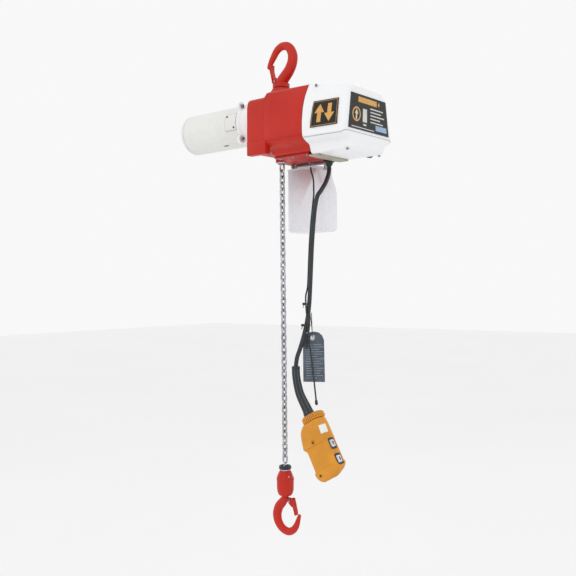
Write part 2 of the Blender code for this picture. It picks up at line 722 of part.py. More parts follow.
def bottom_hook():
    path = [
        (0, -889, 7), (-1.5, -895, 8), (-8.5, -904, 9.2), (-17, -914, 9.7), (-22, -929, 9.7),
        (-19, -944, 8.9), (-8.5, -955.5, 8.2), (6, -959.7, 7.8), (18.5, -955, 7.2), (27, -945, 6.4),
        (32, -933, 5), (35.5, -923, 3.4),
    ]
    middles, radii = [(x, 0, z) for x, z, _ in path], [r for *_, r in path]
    hook = wire("bottom_hook", middles, 8, "red_paint", 3, radii, flat=0.8)
    hook = as_mesh(hook)
    shank = rod("bottom_shank", (0, 0, -893), (0, 0, -862), 6.4, None)
    head = rod("bottom_head", (0, 0, -868), (0, 0, -860), 12, None, segments=6)
    x, z = LOWER_LATCH_PIN
    lug = block("bottom_lug", (0, -2.5, z - 3.5), (x + 3.5, 2.5, -891), None)
    seat = block("bottom_seat_cut", (1, -4, -953), (11, 4, -948), None)
    join(hook, shank, head, lug)
    cut(hook, rod("bottom_lug_hole", (x, -20, z), (x, 20, z), 1.9, None, segments=12), seat)
    rod("bottom_latch_pin", (x, -7.4, z), (x, 7.4, z), 1.5, "steel", segments=12)
    latch("bottom_latch", LOWER_LATCH_PIN, (23.5, -925), 1)


def lower_block():
    centre = (0, 0, 0)
    outer = [
        (CHAIN_BORE, BLOCK_TOP), (11, BLOCK_TOP), (13.2, -844), (15.4, -849), (17.2, -855), (17.9, -861),
        (17.9, -876), (16.4, -883), (12.8, BLOCK_BOTTOM), (7.2, BLOCK_BOTTOM), (7.2, -877.5),
        (14.6, -877.5), (14.6, -858), (CHAIN_BORE, -856),
    ]
    for name, low, high in (("hook_block_front", -40, -GAP / 2), ("hook_block_back", GAP / 2, 40)):
        half = as_mesh(turned(name, outer, centre, (0, 0, 1), "red_paint", 32, ring=True))
        keep = block(name + "_half", (-60, low, -900), (60, high, -820), None)
        combine(half, [keep], "INTERSECT")
        ends = (0, -17, CHAIN_PIN_Z), (0, 17, CHAIN_PIN_Z)
        cut(half, rod(name + "_pin_hole", *ends, 2.1, None, segments=12))
    rod("chain_pin", (0, -14.8, CHAIN_PIN_Z), (0, 14.8, CHAIN_PIN_Z), 1.7, "steel", segments=12)
    bumper = [
        (CHAIN_BORE, BUMPER_Z - 2.3), (12.1, BUMPER_Z - 2.3), (12.7, BUMPER_Z - 5), (12.3, -838.2),
        (CHAIN_BORE, -838.2),
    ]
    turned("chain_bumper", bumper, centre, (0, 0, 1), "navy_rubber", 28, ring=True)
    washer = [(CHAIN_BORE, BUMPER_Z), (11.7, BUMPER_Z), (11.7, BUMPER_Z - 2), (CHAIN_BORE, BUMPER_Z - 2)]
    turned("bumper_washer", washer, centre, (0, 0, 1), "nickel", 28, ring=True)
    bearing = [(7.0, -868.4), (13.5, -868.4), (13.5, -877.1), (7.0, -877.1)]
    turned("thrust_bearing", bearing, centre, (0, 0, 1), "steel", 24, ring=True)


# ---------------------------------------------------------------- pendant and its cord

GLAND = (94.0, 31.0, -224.3)
CORD_TOP = [
    (94, 31, -236.8), (94.2, 30.4, -244), (96, 25, -256), (100, 10, -273), (102, -7, -289), (101, -17, -299),
]
CORD_LOW = [
    (100.6, HANG_Y, -303), (96.7, HANG_Y, -325), (93.3, HANG_Y, -350), (89.6, HANG_Y, -385),
    (87, HANG_Y, -420), (83.7, HANG_Y, -470), (80.3, HANG_Y, -510), (74.3, HANG_Y, -542),
    (66.8, HANG_Y, -567), (58, HANG_Y, -590), (50, HANG_Y, -608.5), (46.6, HANG_Y, -624.4),
]
BOOT = [(46.4, HANG_Y, -626), (46.8, HANG_Y, -643), (50.6, HANG_Y, -663), (57.2, HANG_Y, -682)]
SUPPORT_END = [
    (76.2, -24.5, -490), (78.6, -27, -512), (79.6, -24.8, -538), (76.4, -18.6, -563), (77, -12.6, -596),
    (78.6, -8.1, -631),
    (81.4, -5.8, -668), (83.8, -3.8, -700),
]
ANCHOR = (57.0, 20.0, -230.0)


def cords():
    gland_profile = [(0, 0), (11, 0), (11, -5), (8, -6), (6, -11.7), (0, -11.7)]
    turned("cord_gland", gland_profile, GLAND, (0, 0, 1), "black_plastic", 20)
    wire("pendant_cord_top", smooth(CORD_TOP, 9), CORD_R, "black_rubber", 2)
    wire("pendant_cord", smooth(CORD_LOW, 9), CORD_R, "black_rubber", 2)
    x, y, z = ANCHOR
    eye = [(x + px, y, z + pz) for px, pz in arc((0, 0), 3.6, 0, 330, 11)]
    ring = as_mesh(wire("wire_anchor", eye, 1.2, "steel", 1, closed=True))
    join(ring, rod("anchor_stem", (x, y, z + 2.5), (x, y, PLATE_Z - GAP), 1.6, None, segments=10))
    side = CORD_R + SUPPORT_R + GAP
    top = [(x, y, z - 6.8), (60, 17, -244), (77, 2, -264), (90, -14, -285), (94, -19, -298)]
    wire("support_wire_top", smooth(top, 8), SUPPORT_R, "black_rubber", 1)
    low = [(px - side, py, pz) for px, py, pz in CORD_LOW[:6]] + SUPPORT_END
    wire("support_wire", smooth(low, 8), SUPPORT_R, "black_rubber", 1)


def cord_boot():
    points = smooth([*BOOT, in_pendant(0, 0, 14), in_pendant(0, 0, 0)], 7)
    radii = [8.0 + 2.4 * (i / (len(points) - 1)) ** 2 for i in range(len(points))]
    return wire("cord_boot", points, 8.0, "black_rubber", 3, radii)


def in_pendant(x, y, z):
    """A point of the pendant's own frame, whose -Z runs down its length, in the hoist's frame."""
    turn = Matrix.Rotation(-PENDANT_TILT, 3, "Y")
    return turn @ Vector((x, y, z)) + Vector(PENDANT_TOP)


def pendant_section(z, left, right, depth, slant=0.0, corner=5.0):
    """A rounded rectangle across the pendant at a height in its own frame. A slant lifts its back."""
    points = []
    for cx, cy, start in (
        (right - corner, depth - corner, 0), (left + corner, depth - corner, 90),
        (left + corner, -depth + corner, 180), (right - corner, -depth + corner, 270),
    ):
        outline = arc((cx, cy), corner, start, start + 90, 2)
        points += [in_pendant(x, y, z + slant * (y + depth)) for x, y in outline]
    return points


PENDANT_SHAPE = [  # height, left, right, half depth, slant
    (-13.9, -15, 22.5, 15), (-19, -21, 23, 16), (-26, -27, 22.7, 16.5), (-57, -35.2, 20.5, 17.5),
    (-66, -30.5, 20, 17), (-100, -32.5, 19.5, 17), (-108, -36.5, 19, 18, 0.12), (-118, -36, 17.5, 18, 0.3),
    (-127, -30, 12.5, 15, 0.4),
]
COLLAR_SHAPE = [(-0.9, -9.6, 22.4, 12), (-4, -12.6, 25.4, 14), (-13.5, -13.1, 25.9, 14.5)]
BUTTONS = (("raise", -67.5), ("lower", -98.5))
BUTTON_R = 7.8


def pendant():
    turn = Matrix.Rotation(-PENDANT_TILT, 3, "Y")
    loft("pendant_collar", [pendant_section(*row) for row in COLLAR_SHAPE], "orange_plastic")
    wall = 2.4
    for name, low, high in (("pendant_front", -60, HANG_Y - GAP / 2), ("pendant_back", HANG_Y + GAP / 2, 40)):
        shell = loft(name, [pendant_section(*row) for row in PENDANT_SHAPE], "orange_plastic")
        inner = [
            (z, left + wall, right - wall, depth - wall)
            for z, left, right, depth in ((-17, -18, 22, 15), *PENDANT_SHAPE[1:6], (-103, -32.5, 19.5, 17))
        ]
        cavity = loft(name + "_cavity", [pendant_section(*row, corner=3.5) for row in inner], None)
        half = block(name + "_half", (0, low, -900), (200, high, -650), None)
        combine(shell, [half], "INTERSECT")
        holes = []
        for label, z in BUTTONS:
            start, end = in_pendant(5, 0, z), in_pendant(40, 0, z)
            holes.append(rod(f"{name}_{label}_hole", start, end, BUTTON_R + 0.6, None))
        cut(shell, cavity, *holes)
    low, high = Vector((-14, -10, -101)), Vector((4, 10, -57))
    middle = in_pendant(*((low + high) / 2))
    block("switch_block", middle - (high - low) / 2, middle + (high - low) / 2, "black_plastic", turn)
    for label, z in BUTTONS:
        profile = [
            (0, 24.5), (BUTTON_R - 1.5, 24.5), (BUTTON_R, 22.5), (BUTTON_R, 13), (4, 13), (4, 9), (0, 9)
        ]
        outward = in_pendant(1, 0, 0) - in_pendant(0, 0, 0)
        turned(f"{label}_button", profile, in_pendant(0, 0, z), outward, "button_grey", 20)


TAG_CORNER = (59.9, -14.2, -656)
TAG_TURN = math.radians(39.5)


def tag_parts():
    """The tag beside the cord, and the string that ties it on through its eyelet hole."""
    right = Vector((math.cos(TAG_TURN), math.sin(TAG_TURN), 0))
    up = Vector((0, 0, 1))
    front = right.cross(up)
    facing = Matrix((right, up, front)).transposed()
    outline = [(0, 0), (42, -1), (41, 80), (37.5, 89), (31, 95), (22, 97), (10, 95), (3, 89), (0, 80)]
    tag = outline_piece("warning_tag", outline, 1.2, TAG_CORNER, facing, "tag_slate")
    eye = Vector(TAG_CORNER) + right * 18 + up * 85.5
    cut(tag, rod("tag_hole", eye - front * 10, eye + front * 10, 3.2, None))
    route = [
        (83.3, HANG_Y + 3.6, -522), eye + front * 5 + up * 14, eye + front * 2.5, eye - front * 2.5,
        eye - front * 5 + up * 14, (78.4, HANG_Y + 5.8, -524),
    ]
    wire("tag_string", smooth(route, 5), 0.7, "black_plastic", 0)


def main():
    main_housing()
    bottom_plate()
    chain_guide()
    gear_plate()
    controller_cover()
    controller_parts()
    side_label()
    end_label()
    motor()
    brush_cover()
    gear_train()
    chain_of("load_chain", CHAIN_TOP, CHAIN_LINKS, 0)
    chain_of("chain_end_links", END_LINK_TOP, 2, 1)
    slack_chain()
    chain_container()
    container_bracket()
    top_hook()
    bottom_hook()
    lower_block()
    cords()
    cord_boot()
    pendant()
    tag_parts()


clear_scene()
PARTS = new_collection("chain_hoist")
CUTTERS = new_collection("cutters")
main()
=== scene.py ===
"""Looks for the electric chain hoist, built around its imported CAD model.

Sizes are millimetres in the CAD's frame, turned into metres as each mesh is made.
"""

import json
import math

import bmesh
import bpy
from mathutils import Matrix, Vector
from mathutils.bvhtree import BVHTree


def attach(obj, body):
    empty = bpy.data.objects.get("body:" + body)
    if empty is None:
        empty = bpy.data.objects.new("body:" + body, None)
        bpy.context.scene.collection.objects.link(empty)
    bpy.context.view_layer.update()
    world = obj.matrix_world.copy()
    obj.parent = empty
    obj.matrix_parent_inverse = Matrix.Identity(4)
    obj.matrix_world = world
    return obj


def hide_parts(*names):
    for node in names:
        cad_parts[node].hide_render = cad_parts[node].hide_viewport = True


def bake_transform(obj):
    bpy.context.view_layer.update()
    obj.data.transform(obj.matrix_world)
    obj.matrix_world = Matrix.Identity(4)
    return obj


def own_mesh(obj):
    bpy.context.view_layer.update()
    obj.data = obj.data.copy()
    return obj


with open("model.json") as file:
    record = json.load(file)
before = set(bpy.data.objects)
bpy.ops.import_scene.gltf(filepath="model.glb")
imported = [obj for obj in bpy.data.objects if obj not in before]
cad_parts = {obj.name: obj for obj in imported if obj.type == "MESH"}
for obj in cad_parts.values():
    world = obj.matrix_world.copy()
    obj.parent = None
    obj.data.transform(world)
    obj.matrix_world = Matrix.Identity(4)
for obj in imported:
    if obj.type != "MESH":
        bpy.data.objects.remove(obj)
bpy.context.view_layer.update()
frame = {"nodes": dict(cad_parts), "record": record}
MM = 0.001
NODES = frame["nodes"]

# ---------------------------------------------------------------- camera


def make_camera():
    data = bpy.data.cameras.new("camera")
    data.lens = 48.125
    data.sensor_width = 36.0
    data.clip_end = 60.0
    camera = bpy.data.objects.new("camera", data)
    turn = (
        Matrix.Rotation(math.radians(39.5), 4, "Z") @ Matrix.Rotation(math.radians(90), 4, "X")
        @ Matrix.Rotation(math.radians(-0.6), 4, "Z")
    )
    camera.matrix_world = Matrix.Translation((0.9868, -1.1823, -0.4742)) @ turn
    bpy.context.scene.collection.objects.link(camera)
    bpy.context.scene.camera = camera


make_camera()

# ---------------------------------------------------------------- materials


class Nodes:
    """Short ways to add and link shader nodes in one material."""

    def __init__(self, name):
        self.material = bpy.data.materials.new(name)
        self.material.use_nodes = True
        self.tree = self.material.node_tree
        self.shader = self.tree.nodes["Principled BSDF"]
        self.place = self.add("ShaderNodeTexCoord").outputs["Object"]

    def add(self, kind, **settings):
        node = self.tree.nodes.new(kind)
        for key, value in settings.items():
            setattr(node, key, value)
        return node

    def link(self, start, end):
        self.tree.links.new(start, end)

    def stretched(self, scale):
        """The surface's own coordinates, stretched differently along each axis."""
        mapping = self.add("ShaderNodeMapping")
        self.link(self.place, mapping.inputs["Vector"])
        mapping.inputs["Scale"].default_value = scale
        return mapping.outputs["Vector"]

    def noise(self, scale, detail=3.0, place=None, rough=0.55):
        node = self.add("ShaderNodeTexNoise")
        self.link(place or self.place, node.inputs["Vector"])
        node.inputs["Scale"].default_value = scale
        node.inputs["Detail"].default_value = detail
        node.inputs["Roughness"].default_value = rough
        return node.outputs["Fac"]

    def ramp(self, value, low, high, first=0.0, last=1.0):
        node = self.add("ShaderNodeMapRange")
        self.link(value, node.inputs["Value"])
        for socket, number in (("From Min", low), ("From Max", high), ("To Min", first), ("To Max", last)):
            node.inputs[socket].default_value = number
        return node.outputs["Result"]

    def mix(self, amount, first, second):
        node = self.add("ShaderNodeMix", data_type="RGBA")
        self.link(amount, node.inputs["Factor"])
        for index, colour in ((6, first), (7, second)):
            if isinstance(colour, tuple):
                node.inputs[index].default_value = (*colour, 1.0)
            else:
                self.link(colour, node.inputs[index])
        return node.outputs[2]

    def bump(self, height, strength, distance, normal=None):
        node = self.add("ShaderNodeBump")
        self.link(height, node.inputs["Height"])
        node.inputs["Strength"].default_value = strength
        node.inputs["Distance"].default_value = distance
        if normal:
            self.link(normal, node.inputs["Normal"])
        return node.outputs["Normal"]


def shade(colour, factor):
    return tuple(min(1.0, c * factor) for c in colour)


def finish(
    name, colour, rough=0.45, metallic=0.0, vary=0.12, cloud=14.0, grain=900.0, bump=0.15,
    depth=0.00006, spread=0.12, wear=None, wear_amount=0.35, stretch=None, **sockets
):
    """A procedural finish: cloudy colour, a fine grain in the bump, uneven gloss, and wear on its edges."""
    n = Nodes(name)
    place = n.stretched(stretch) if stretch else n.place
    clouds = n.ramp(n.noise(cloud, 4.0, place), 0.3, 0.7)
    base = n.mix(clouds, shade(colour, 1 - vary), shade(colour, 1 + vary * 0.6))
    if wear:
        edge = n.add("ShaderNodeNewGeometry").outputs["Pointiness"]
        patchy = n.add("ShaderNodeMath", operation="MULTIPLY")
        n.link(n.ramp(edge, 0.53, 0.60, 0.0, wear_amount), patchy.inputs[0])
        n.link(n.ramp(n.noise(110.0, 3.0), 0.42, 0.62), patchy.inputs[1])
        base = n.mix(patchy.outputs[0], base, wear)
    n.link(base, n.shader.inputs["Base Color"])
    n.link(
        n.ramp(n.noise(cloud * 6, 4.0, place), 0.3, 0.7, rough - spread / 2, rough + spread / 2),
        n.shader.inputs["Roughness"],
    )
    fine = n.bump(n.noise(grain, 2.0, place), bump, depth)
    broad = n.bump(n.noise(cloud * 2.5, 2.0, place), bump * 0.35, depth * 6, fine)
    n.link(broad, n.shader.inputs["Normal"])
    n.shader.inputs["Metallic"].default_value = metallic
    for key, value in sockets.items():
        n.shader.inputs[key.replace("_", " ")].default_value = value
    return n.material


RED = (0.525, 0.018, 0.007)
LOOKS = {
    "red_paint": finish(
        "red_paint", RED, 0.42, vary=0.10, cloud=9, grain=1300, bump=0.3, depth=0.00010,
        wear=(0.26, 0.010, 0.006), Specular_IOR_Level=0.3,
    ),
    "white_paint": finish(
        "white_paint", (0.90, 0.905, 0.92), 0.32, vary=0.035, cloud=7, grain=1100, bump=0.16,
        wear=(0.55, 0.56, 0.60), wear_amount=0.2, Specular_IOR_Level=0.4,
    ),
    "grey_white": finish(
        "grey_white", (0.80, 0.80, 0.775), 0.42, vary=0.05, cloud=11, grain=700, bump=0.25,
        depth=0.0001, wear=(0.45, 0.45, 0.44), wear_amount=0.25,
    ),
    "beige_plastic": finish("beige_plastic", (0.42, 0.38, 0.30), 0.5, vary=0.15),
    "nickel": finish(
        "nickel", (0.52, 0.53, 0.56), 0.24, 1.0, vary=0.45, cloud=120, grain=500, bump=0.2, spread=0.2,
    ),
    "steel": finish(
        "steel", (0.30, 0.30, 0.32), 0.36, 1.0, vary=0.2, cloud=40, grain=300, bump=0.2,
        stretch=(1.0, 6.0, 6.0),
    ),
    "copper": finish("copper", (0.60, 0.25, 0.12), 0.35, 1.0, vary=0.2, stretch=(8.0, 1.0, 1.0)),
    "aluminium": finish("aluminium", (0.58, 0.58, 0.60), 0.42, 1.0, vary=0.1, bump=0.35, depth=0.00015),
    "black_rubber": finish(
        "black_rubber", (0.020, 0.025, 0.030), 0.44, vary=0.3, cloud=30, grain=1500, bump=0.25,
        Specular_IOR_Level=0.5,
    ),
    "black_plastic": finish("black_plastic", (0.018, 0.018, 0.020), 0.42, vary=0.3, grain=1500),
    "navy_rubber": finish("navy_rubber", (0.016, 0.024, 0.050), 0.5, vary=0.3, cloud=40),
    "clear_plastic": finish(
        "clear_plastic", (0.93, 0.93, 0.97), 0.3, vary=0.03, cloud=12, grain=500, bump=0.1,
        Alpha=0.86, Subsurface_Weight=0.0, Coat_Weight=0.2,
    ),
    "orange_plastic": finish(
        "orange_plastic", (0.69, 0.28, 0.016), 0.38, vary=0.14, cloud=26, grain=1700, bump=0.4,
        depth=0.00010, wear=(0.34, 0.11, 0.008), wear_amount=0.5, Specular_IOR_Level=0.4,
    ),
    "button_grey": finish("button_grey", (0.66, 0.66, 0.70), 0.36, vary=0.08, cloud=60),
    "label_black": finish(
        "label_black", (0.012, 0.011, 0.010), 0.34, vary=0.3, cloud=25, bump=0.06, Specular_IOR_Level=0.35,
    ),
    "tag_slate": finish(
        "tag_slate", (0.075, 0.10, 0.135), 0.42, vary=0.35, cloud=45, grain=700, bump=0.2,
        stretch=(1.0, 1.0, 1.6),
    ),
    "board_green": finish("board_green", (0.02, 0.13, 0.06), 0.4, vary=0.3, cloud=90),
}
AMBER = finish("amber_ink", (0.70, 0.36, 0.08), 0.35, vary=0.12, cloud=40, bump=0.06)
PALE = finish("pale_ink", (0.62, 0.62, 0.60), 0.35, vary=0.08, cloud=40, bump=0.06)
BLUE = finish("blue_ink", (0.30, 0.42, 0.62), 0.35, vary=0.08, cloud=40, bump=0.06)
TAG_INK = finish("tag_ink", (0.26, 0.30, 0.34), 0.4, vary=0.2, cloud=60, bump=0.06)
SLEEVE = finish(
    "sleeve_rubber", (0.012, 0.018, 0.021), 0.40, vary=0.35, cloud=30, grain=1500, bump=0.2,
    stretch=(3.0, 3.0, 0.6),
)
# Lighter rubber for the sleeve's ridge crests: a painted highlight streak along each ridge.
SLEEVE_RIDGE_HIGHLIGHT = finish(
    "sleeve_ridge_highlight", (0.085, 0.11, 0.12), 0.36, vary=0.35, cloud=40, grain=1500, bump=0.2,
    stretch=(3.0, 3.0, 0.6),
)
# Darker orange for the faces in the crown's rib grooves: painted shade in the grooves.
CROWN_GROOVE_SHADE = finish("orange_groove_shade", (0.34, 0.105, 0.008), 0.5, vary=0.15, cloud=60)
# Grey for thin lines: painted shade under the cover's lip and round the brush plate, and the motor's real
# seam.
SHADE_AND_SEAM_GREY = finish("shade_and_seam_grey", (0.46, 0.46, 0.49), 0.6, vary=0.1)
WHITE_LABEL = finish("white_label", (0.86, 0.86, 0.82), 0.3, vary=0.05, cloud=60, bump=0.06)

# ---------------------------------------------------------------- mesh helpers


def made(name, bm, look, body, replaces=(), sharp=35.0):
    """A smooth-shaded piece from a bmesh in millimetres, on its body and with its look as material."""
    bmesh.ops.scale(bm, vec=(MM, MM, MM), verts=bm.verts)
    bmesh.ops.remove_doubles(bm, verts=bm.verts, dist=1e-7)
    bmesh.ops.recalc_face_normals(bm, faces=bm.faces)
    mesh = bpy.data.meshes.new(name)
    bm.to_mesh(mesh)
    bm.free()
    mesh.polygons.foreach_set("use_smooth", [True] * len(mesh.polygons))
    mesh.set_sharp_from_angle(angle=math.radians(sharp))
    obj = bpy.data.objects.new(name, mesh)
    bpy.context.scene.collection.objects.link(obj)
    mesh.materials.append(LOOKS[look] if isinstance(look, str) else look)
    if body:
        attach(obj, body)
    if replaces:
        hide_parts(*replaces)
    return obj


def skin(bm, rings, closed=True, caps=(True, True)):
    """Faces between rings of the same number of points, and a cap on each end."""
    made_rings = [[bm.verts.new(p) for p in ring] for ring in rings]
    count = len(made_rings[0])
    for first, second in zip(made_rings, made_rings[1:]):
        for i in range(count if closed else count - 1):
            j = (i + 1) % count
            bm.faces.new((first[i], first[j], second[j], second[i]))
    if caps[0]:
        bm.faces.new(list(reversed(made_rings[0])))
    if caps[1]:
        bm.faces.new(made_rings[-1])
    return made_rings


def fillet(points, radius, count=4, closed=True):
    """The 2D outline with each corner rounded, with the same number of points at every corner."""
    out = []
    total = len(points)
    for i, point in enumerate(points):
        if not closed and i in (0, total - 1):
            out += [tuple(point)] * (count + 1)
            continue
        p = Vector(point)
        a, b = Vector(points[i - 1]) - p, Vector(points[(i + 1) % total]) - p
        reach = min(radius, a.length * 0.45, b.length * 0.45)
        start, end = p + a.normalized() * reach, p + b.normalized() * reach
        for k in range(count + 1):
            t = k / count
            out.append(tuple(start * (1 - t) ** 2 + p * 2 * t * (1 - t) + end * t * t))
    return out


def axis_turn(axis):
    return Vector(axis).to_track_quat("Z", "Y").to_matrix()


def lathe(bm, profile, base=(0, 0, 0), axis=(0, 0, 1), steps=64, start=0.0, sweep=360.0):
    """Turns a profile of (radius, height) points about an axis. A part turn is closed with flat ends."""
    turn, base = axis_turn(axis), Vector(base)
    full = sweep >= 360
    count = steps if full else steps + 1
    columns = []
    for i in range(count):
        t = math.radians(start + sweep * i / steps)
        columns.append([
            bm.verts.new(turn @ Vector((max(r, 1e-4) * math.cos(t), max(r, 1e-4) * math.sin(t), h)) + base)
            for r, h in profile
        ])
    ring = profile[0] == profile[-1]
    for i in range(count if full else count - 1):
        first, second = columns[i], columns[(i + 1) % count]
        for k in range(len(profile) - 1):
            bm.faces.new((first[k], second[k], second[k + 1], first[k + 1]))
    if not full:
        for column in (columns[0], columns[-1]):
            bm.faces.new(column[:-1] if ring else column)


def frames_along(points, closed=False):
    """A side and a normal at each point of a path, carried along without twist."""
    count = len(points)
    result, side = [], None
    for i in range(count):
        if closed:
            direction = points[(i + 1) % count] - points[i - 1]
        else:
            direction = points[min(i + 1, count - 1)] - points[max(i - 1, 0)]
        direction.normalize()
        if side is None:
            side = direction.cross(Vector((0, 1, 0)))
            if side.length < 0.2:
                side = direction.cross(Vector((1, 0, 0)))
        side = (side - direction * side.dot(direction)).normalized()
        result.append((side, direction.cross(side)))
    return result


def tube(bm, points, radii, sides=16, closed=False, flat=1.0, round_ends=False):
    """A bar of round section along points. Its section may change, and may be flattened along its normal."""
    points = [Vector(p) for p in points]
    if not hasattr(radii, "__len__"):
        radii = [radii] * len(points)
    rings = []
    for point, (side, normal), radius in zip(points, frames_along(points, closed), radii):
        rings.append([
            point + side * radius * math.cos(math.tau * k / sides)
            + normal * radius * flat * math.sin(math.tau * k / sides)
            for k in range(sides)
        ])
    if round_ends:
        first = (points[0] - points[1]).normalized()
        last = (points[-1] - points[-2]).normalized()
        for place, ring, radius, way in ((0, rings[0], radii[0], first), (None, rings[-1], radii[-1], last)):
            middle = points[0] if place == 0 else points[-1]
            for angle in (30, 60, 80):
                t = math.radians(angle)
                cap = [middle + (p - middle) * math.cos(t) + way * radius * 0.8 * math.sin(t) for p in ring]
                if place == 0:
                    rings.insert(0, cap)
                else:
                    rings.append(cap)
    if closed:
        rings.append(rings[0])
    skin(bm, rings, caps=(not closed, not closed))


def smooth(points, spacing):
    """Points at an even spacing along a Catmull-Rom curve through the given points."""
    padded = [points[0], *points, points[-1]]
    fine = []
    for a, b, c, d in zip(padded, padded[1:], padded[2:], padded[3:]):
        a, b, c, d = (Vector(p) for p in (a, b, c, d))
        for i in range(24):
            t = i / 24
            fine.append(
                0.5 * (2 * b + (c - a) * t + (2 * a - 5 * b + 4 * c - d) * t * t
                       + (3 * b - a - 3 * c + d) * t ** 3)
            )
    fine.append(Vector(points[-1]))
    length = sum((q - p).length for p, q in zip(fine, fine[1:]))
    count = max(2, round(length / spacing))
    even, walked, target = [fine[0]], 0.0, length / count
    for p, q in zip(fine, fine[1:]):
        step = (q - p).length
        while step > 0 and walked + step >= target - 1e-9 and len(even) < count:
            even.append(p.lerp(q, (target - walked) / step))
            target += length / count
        walked += step
    even.append(fine[-1])
    return even


def length_of(points):
    return sum((q - p).length for p, q in zip(points, points[1:]))


def rounded_box(bm, low, high, radius, turn=None, segments=3):
    """A box with rounded edges, turned about its own centre."""
    low, high = Vector(low), Vector(high)
    cube = bmesh.new()
    bmesh.ops.create_cube(cube, size=1.0)
    bmesh.ops.scale(cube, vec=high - low, verts=cube.verts)
    bmesh.ops.bevel(cube, geom=cube.edges, offset=radius, segments=segments, profile=0.5, affect="EDGES")
    if turn:
        bmesh.ops.rotate(cube, cent=(0, 0, 0), matrix=turn, verts=cube.verts)
    bmesh.ops.translate(cube, vec=(low + high) / 2, verts=cube.verts)
    mesh = bpy.data.meshes.new("box")
    cube.to_mesh(mesh)
    cube.free()
    bm.from_mesh(mesh)
    bpy.data.meshes.remove(mesh)


def cut(obj, bm):
    """Takes the closed shape in bm, in millimetres, out of the piece."""
    bmesh.ops.scale(bm, vec=(MM, MM, MM), verts=bm.verts)
    bmesh.ops.recalc_face_normals(bm, faces=bm.faces)
    mesh = bpy.data.meshes.new("cutter")
    bm.to_mesh(mesh)
    bm.free()
    cutter = bpy.data.objects.new("cutter", mesh)
    bpy.context.scene.collection.objects.link(cutter)
    boolean = obj.modifiers.new("Cut", "BOOLEAN")
    boolean.object, boolean.solver = cutter, "EXACT"
    result = bpy.data.meshes.new_from_object(obj.evaluated_get(bpy.context.evaluated_depsgraph_get()))
    obj.modifiers.remove(boolean)
    obj.data = result
    bpy.data.objects.remove(cutter)
    result.set_sharp_from_angle(angle=math.radians(38))


def screw_heads(name, spots, radius, look, body, height=None):
    """Round screw heads with a socket. Each spot is a place on the surface and the way out of it."""
    bm = bmesh.new()
    h = height or radius * 0.7
    for place, out in spots:
        profile = [
            (0, h * 0.35), (radius * 0.42, h * 0.35), (radius * 0.46, h * 0.97), (radius * 0.72, h),
            (radius * 0.92, h * 0.82), (radius, h * 0.5), (radius, -h * 0.6), (0, -h * 0.6),
        ]
        lathe(bm, profile, place, out, 20)
    return made(name, bm, look, body, sharp=40)


def decal(name, shapes, place, look, body, thick=0.16, step=0.06):
    """Thin shapes laid along a surface.

    place takes (u, v, out) to a point, and step is the finest cut in u and v.
    """
    bm = bmesh.new()
    for shape in shapes:
        bm.faces.new([bm.verts.new((u, v, 0.0)) for u, v in shape])
    for _ in range(5):
        bmesh.ops.triangulate(bm, faces=bm.faces)
        long = [e for e in bm.edges if e.calc_length() > step]
        if not long:
            break
        bmesh.ops.subdivide_edges(bm, edges=long, cuts=1)
    bmesh.ops.triangulate(bm, faces=bm.faces)
    for v in bm.verts:
        v.co = Vector(place(v.co.x, v.co.y, 0.12))
    obj = made(name, bm, look, body, sharp=40)
    sheet = obj.modifiers.new("Thickness", "SOLIDIFY")
    sheet.thickness, sheet.offset = thick * MM, 0.0
    return obj


def arc(cx, cy, rx, ry, start, end, count):
    turns = [math.radians(start + (end - start) * i / count) for i in range(count + 1)]
    return [(cx + rx * math.cos(t), cy + ry * math.sin(t)) for t in turns]


# ---------------------------------------------------------------- cord and support wire

HANG_Y = -20.0
CORD_R, SUPPORT_R = 4.2, 1.6
CORD_TOP = [(94, 31, -234), (94, 31, -240), (94.6, 29.6, -247), (96.4, 24, -257), (100, 10, -273),
    (102, -7, -289)]
CORD_LOW = [
    (101, -17.5, -301), (96.7, HANG_Y, -325), (93.3, HANG_Y, -350), (89.6, HANG_Y, -385),
    (87, HANG_Y, -420), (83.7, HANG_Y, -470), (80.3, HANG_Y, -510), (74.3, HANG_Y, -542),
    (66.8, HANG_Y, -567), (58, HANG_Y, -590), (50, HANG_Y, -608.5), (46.6, HANG_Y, -625.5),
]
SUPPORT_PATH = [
    (57, 20, -236.4), (60, 17, -244), (77, 2, -264), (90, -14, -285), (93.6, -19, -299),
    (90.6, HANG_Y, -325), (87.2, HANG_Y, -350), (83.5, HANG_Y, -385), (80.9, HANG_Y, -420),
    (77.6, HANG_Y, -470), (76.2, -24.5, -490), (78.6, -27, -512), (79.6, -24.8, -538),
    (76.4, -18.6, -563), (77, -12.6, -596), (78.6, -8.1, -631), (81.4, -5.8, -668), (83.8, -3.8, -699.5),
]


def make_cord():
    points = smooth(CORD_TOP + CORD_LOW, 4)
    bm = bmesh.new()
    tube(bm, points, CORD_R, 24)
    cord = made("pendant_cable", bm, "black_rubber", None, replaces=("pendant_cord_top", "pendant_cord"),
        sharp=60)
    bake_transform(cord)


def make_support_wire():
    points = smooth(SUPPORT_PATH, 4)
    bm = bmesh.new()
    tube(bm, points, SUPPORT_R, 14)
    strand = made("support_strand", bm, "black_rubber", None, replaces=("support_wire_top", "support_wire"),
        sharp=60)
    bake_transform(strand)
    end = points[-1]
    way = (points[-1] - points[-2]).normalized()
    bm = bmesh.new()
    tube(bm, [end - way * 9, end - way * 7.5, end - way * 3, end, end + way * 0.8],
        [1.9, 2.6, 2.9, 2.5, 1.4], 18)
    crimp = made("support_crimp", bm, "black_plastic", "pendant", sharp=50)


make_cord()
make_support_wire()


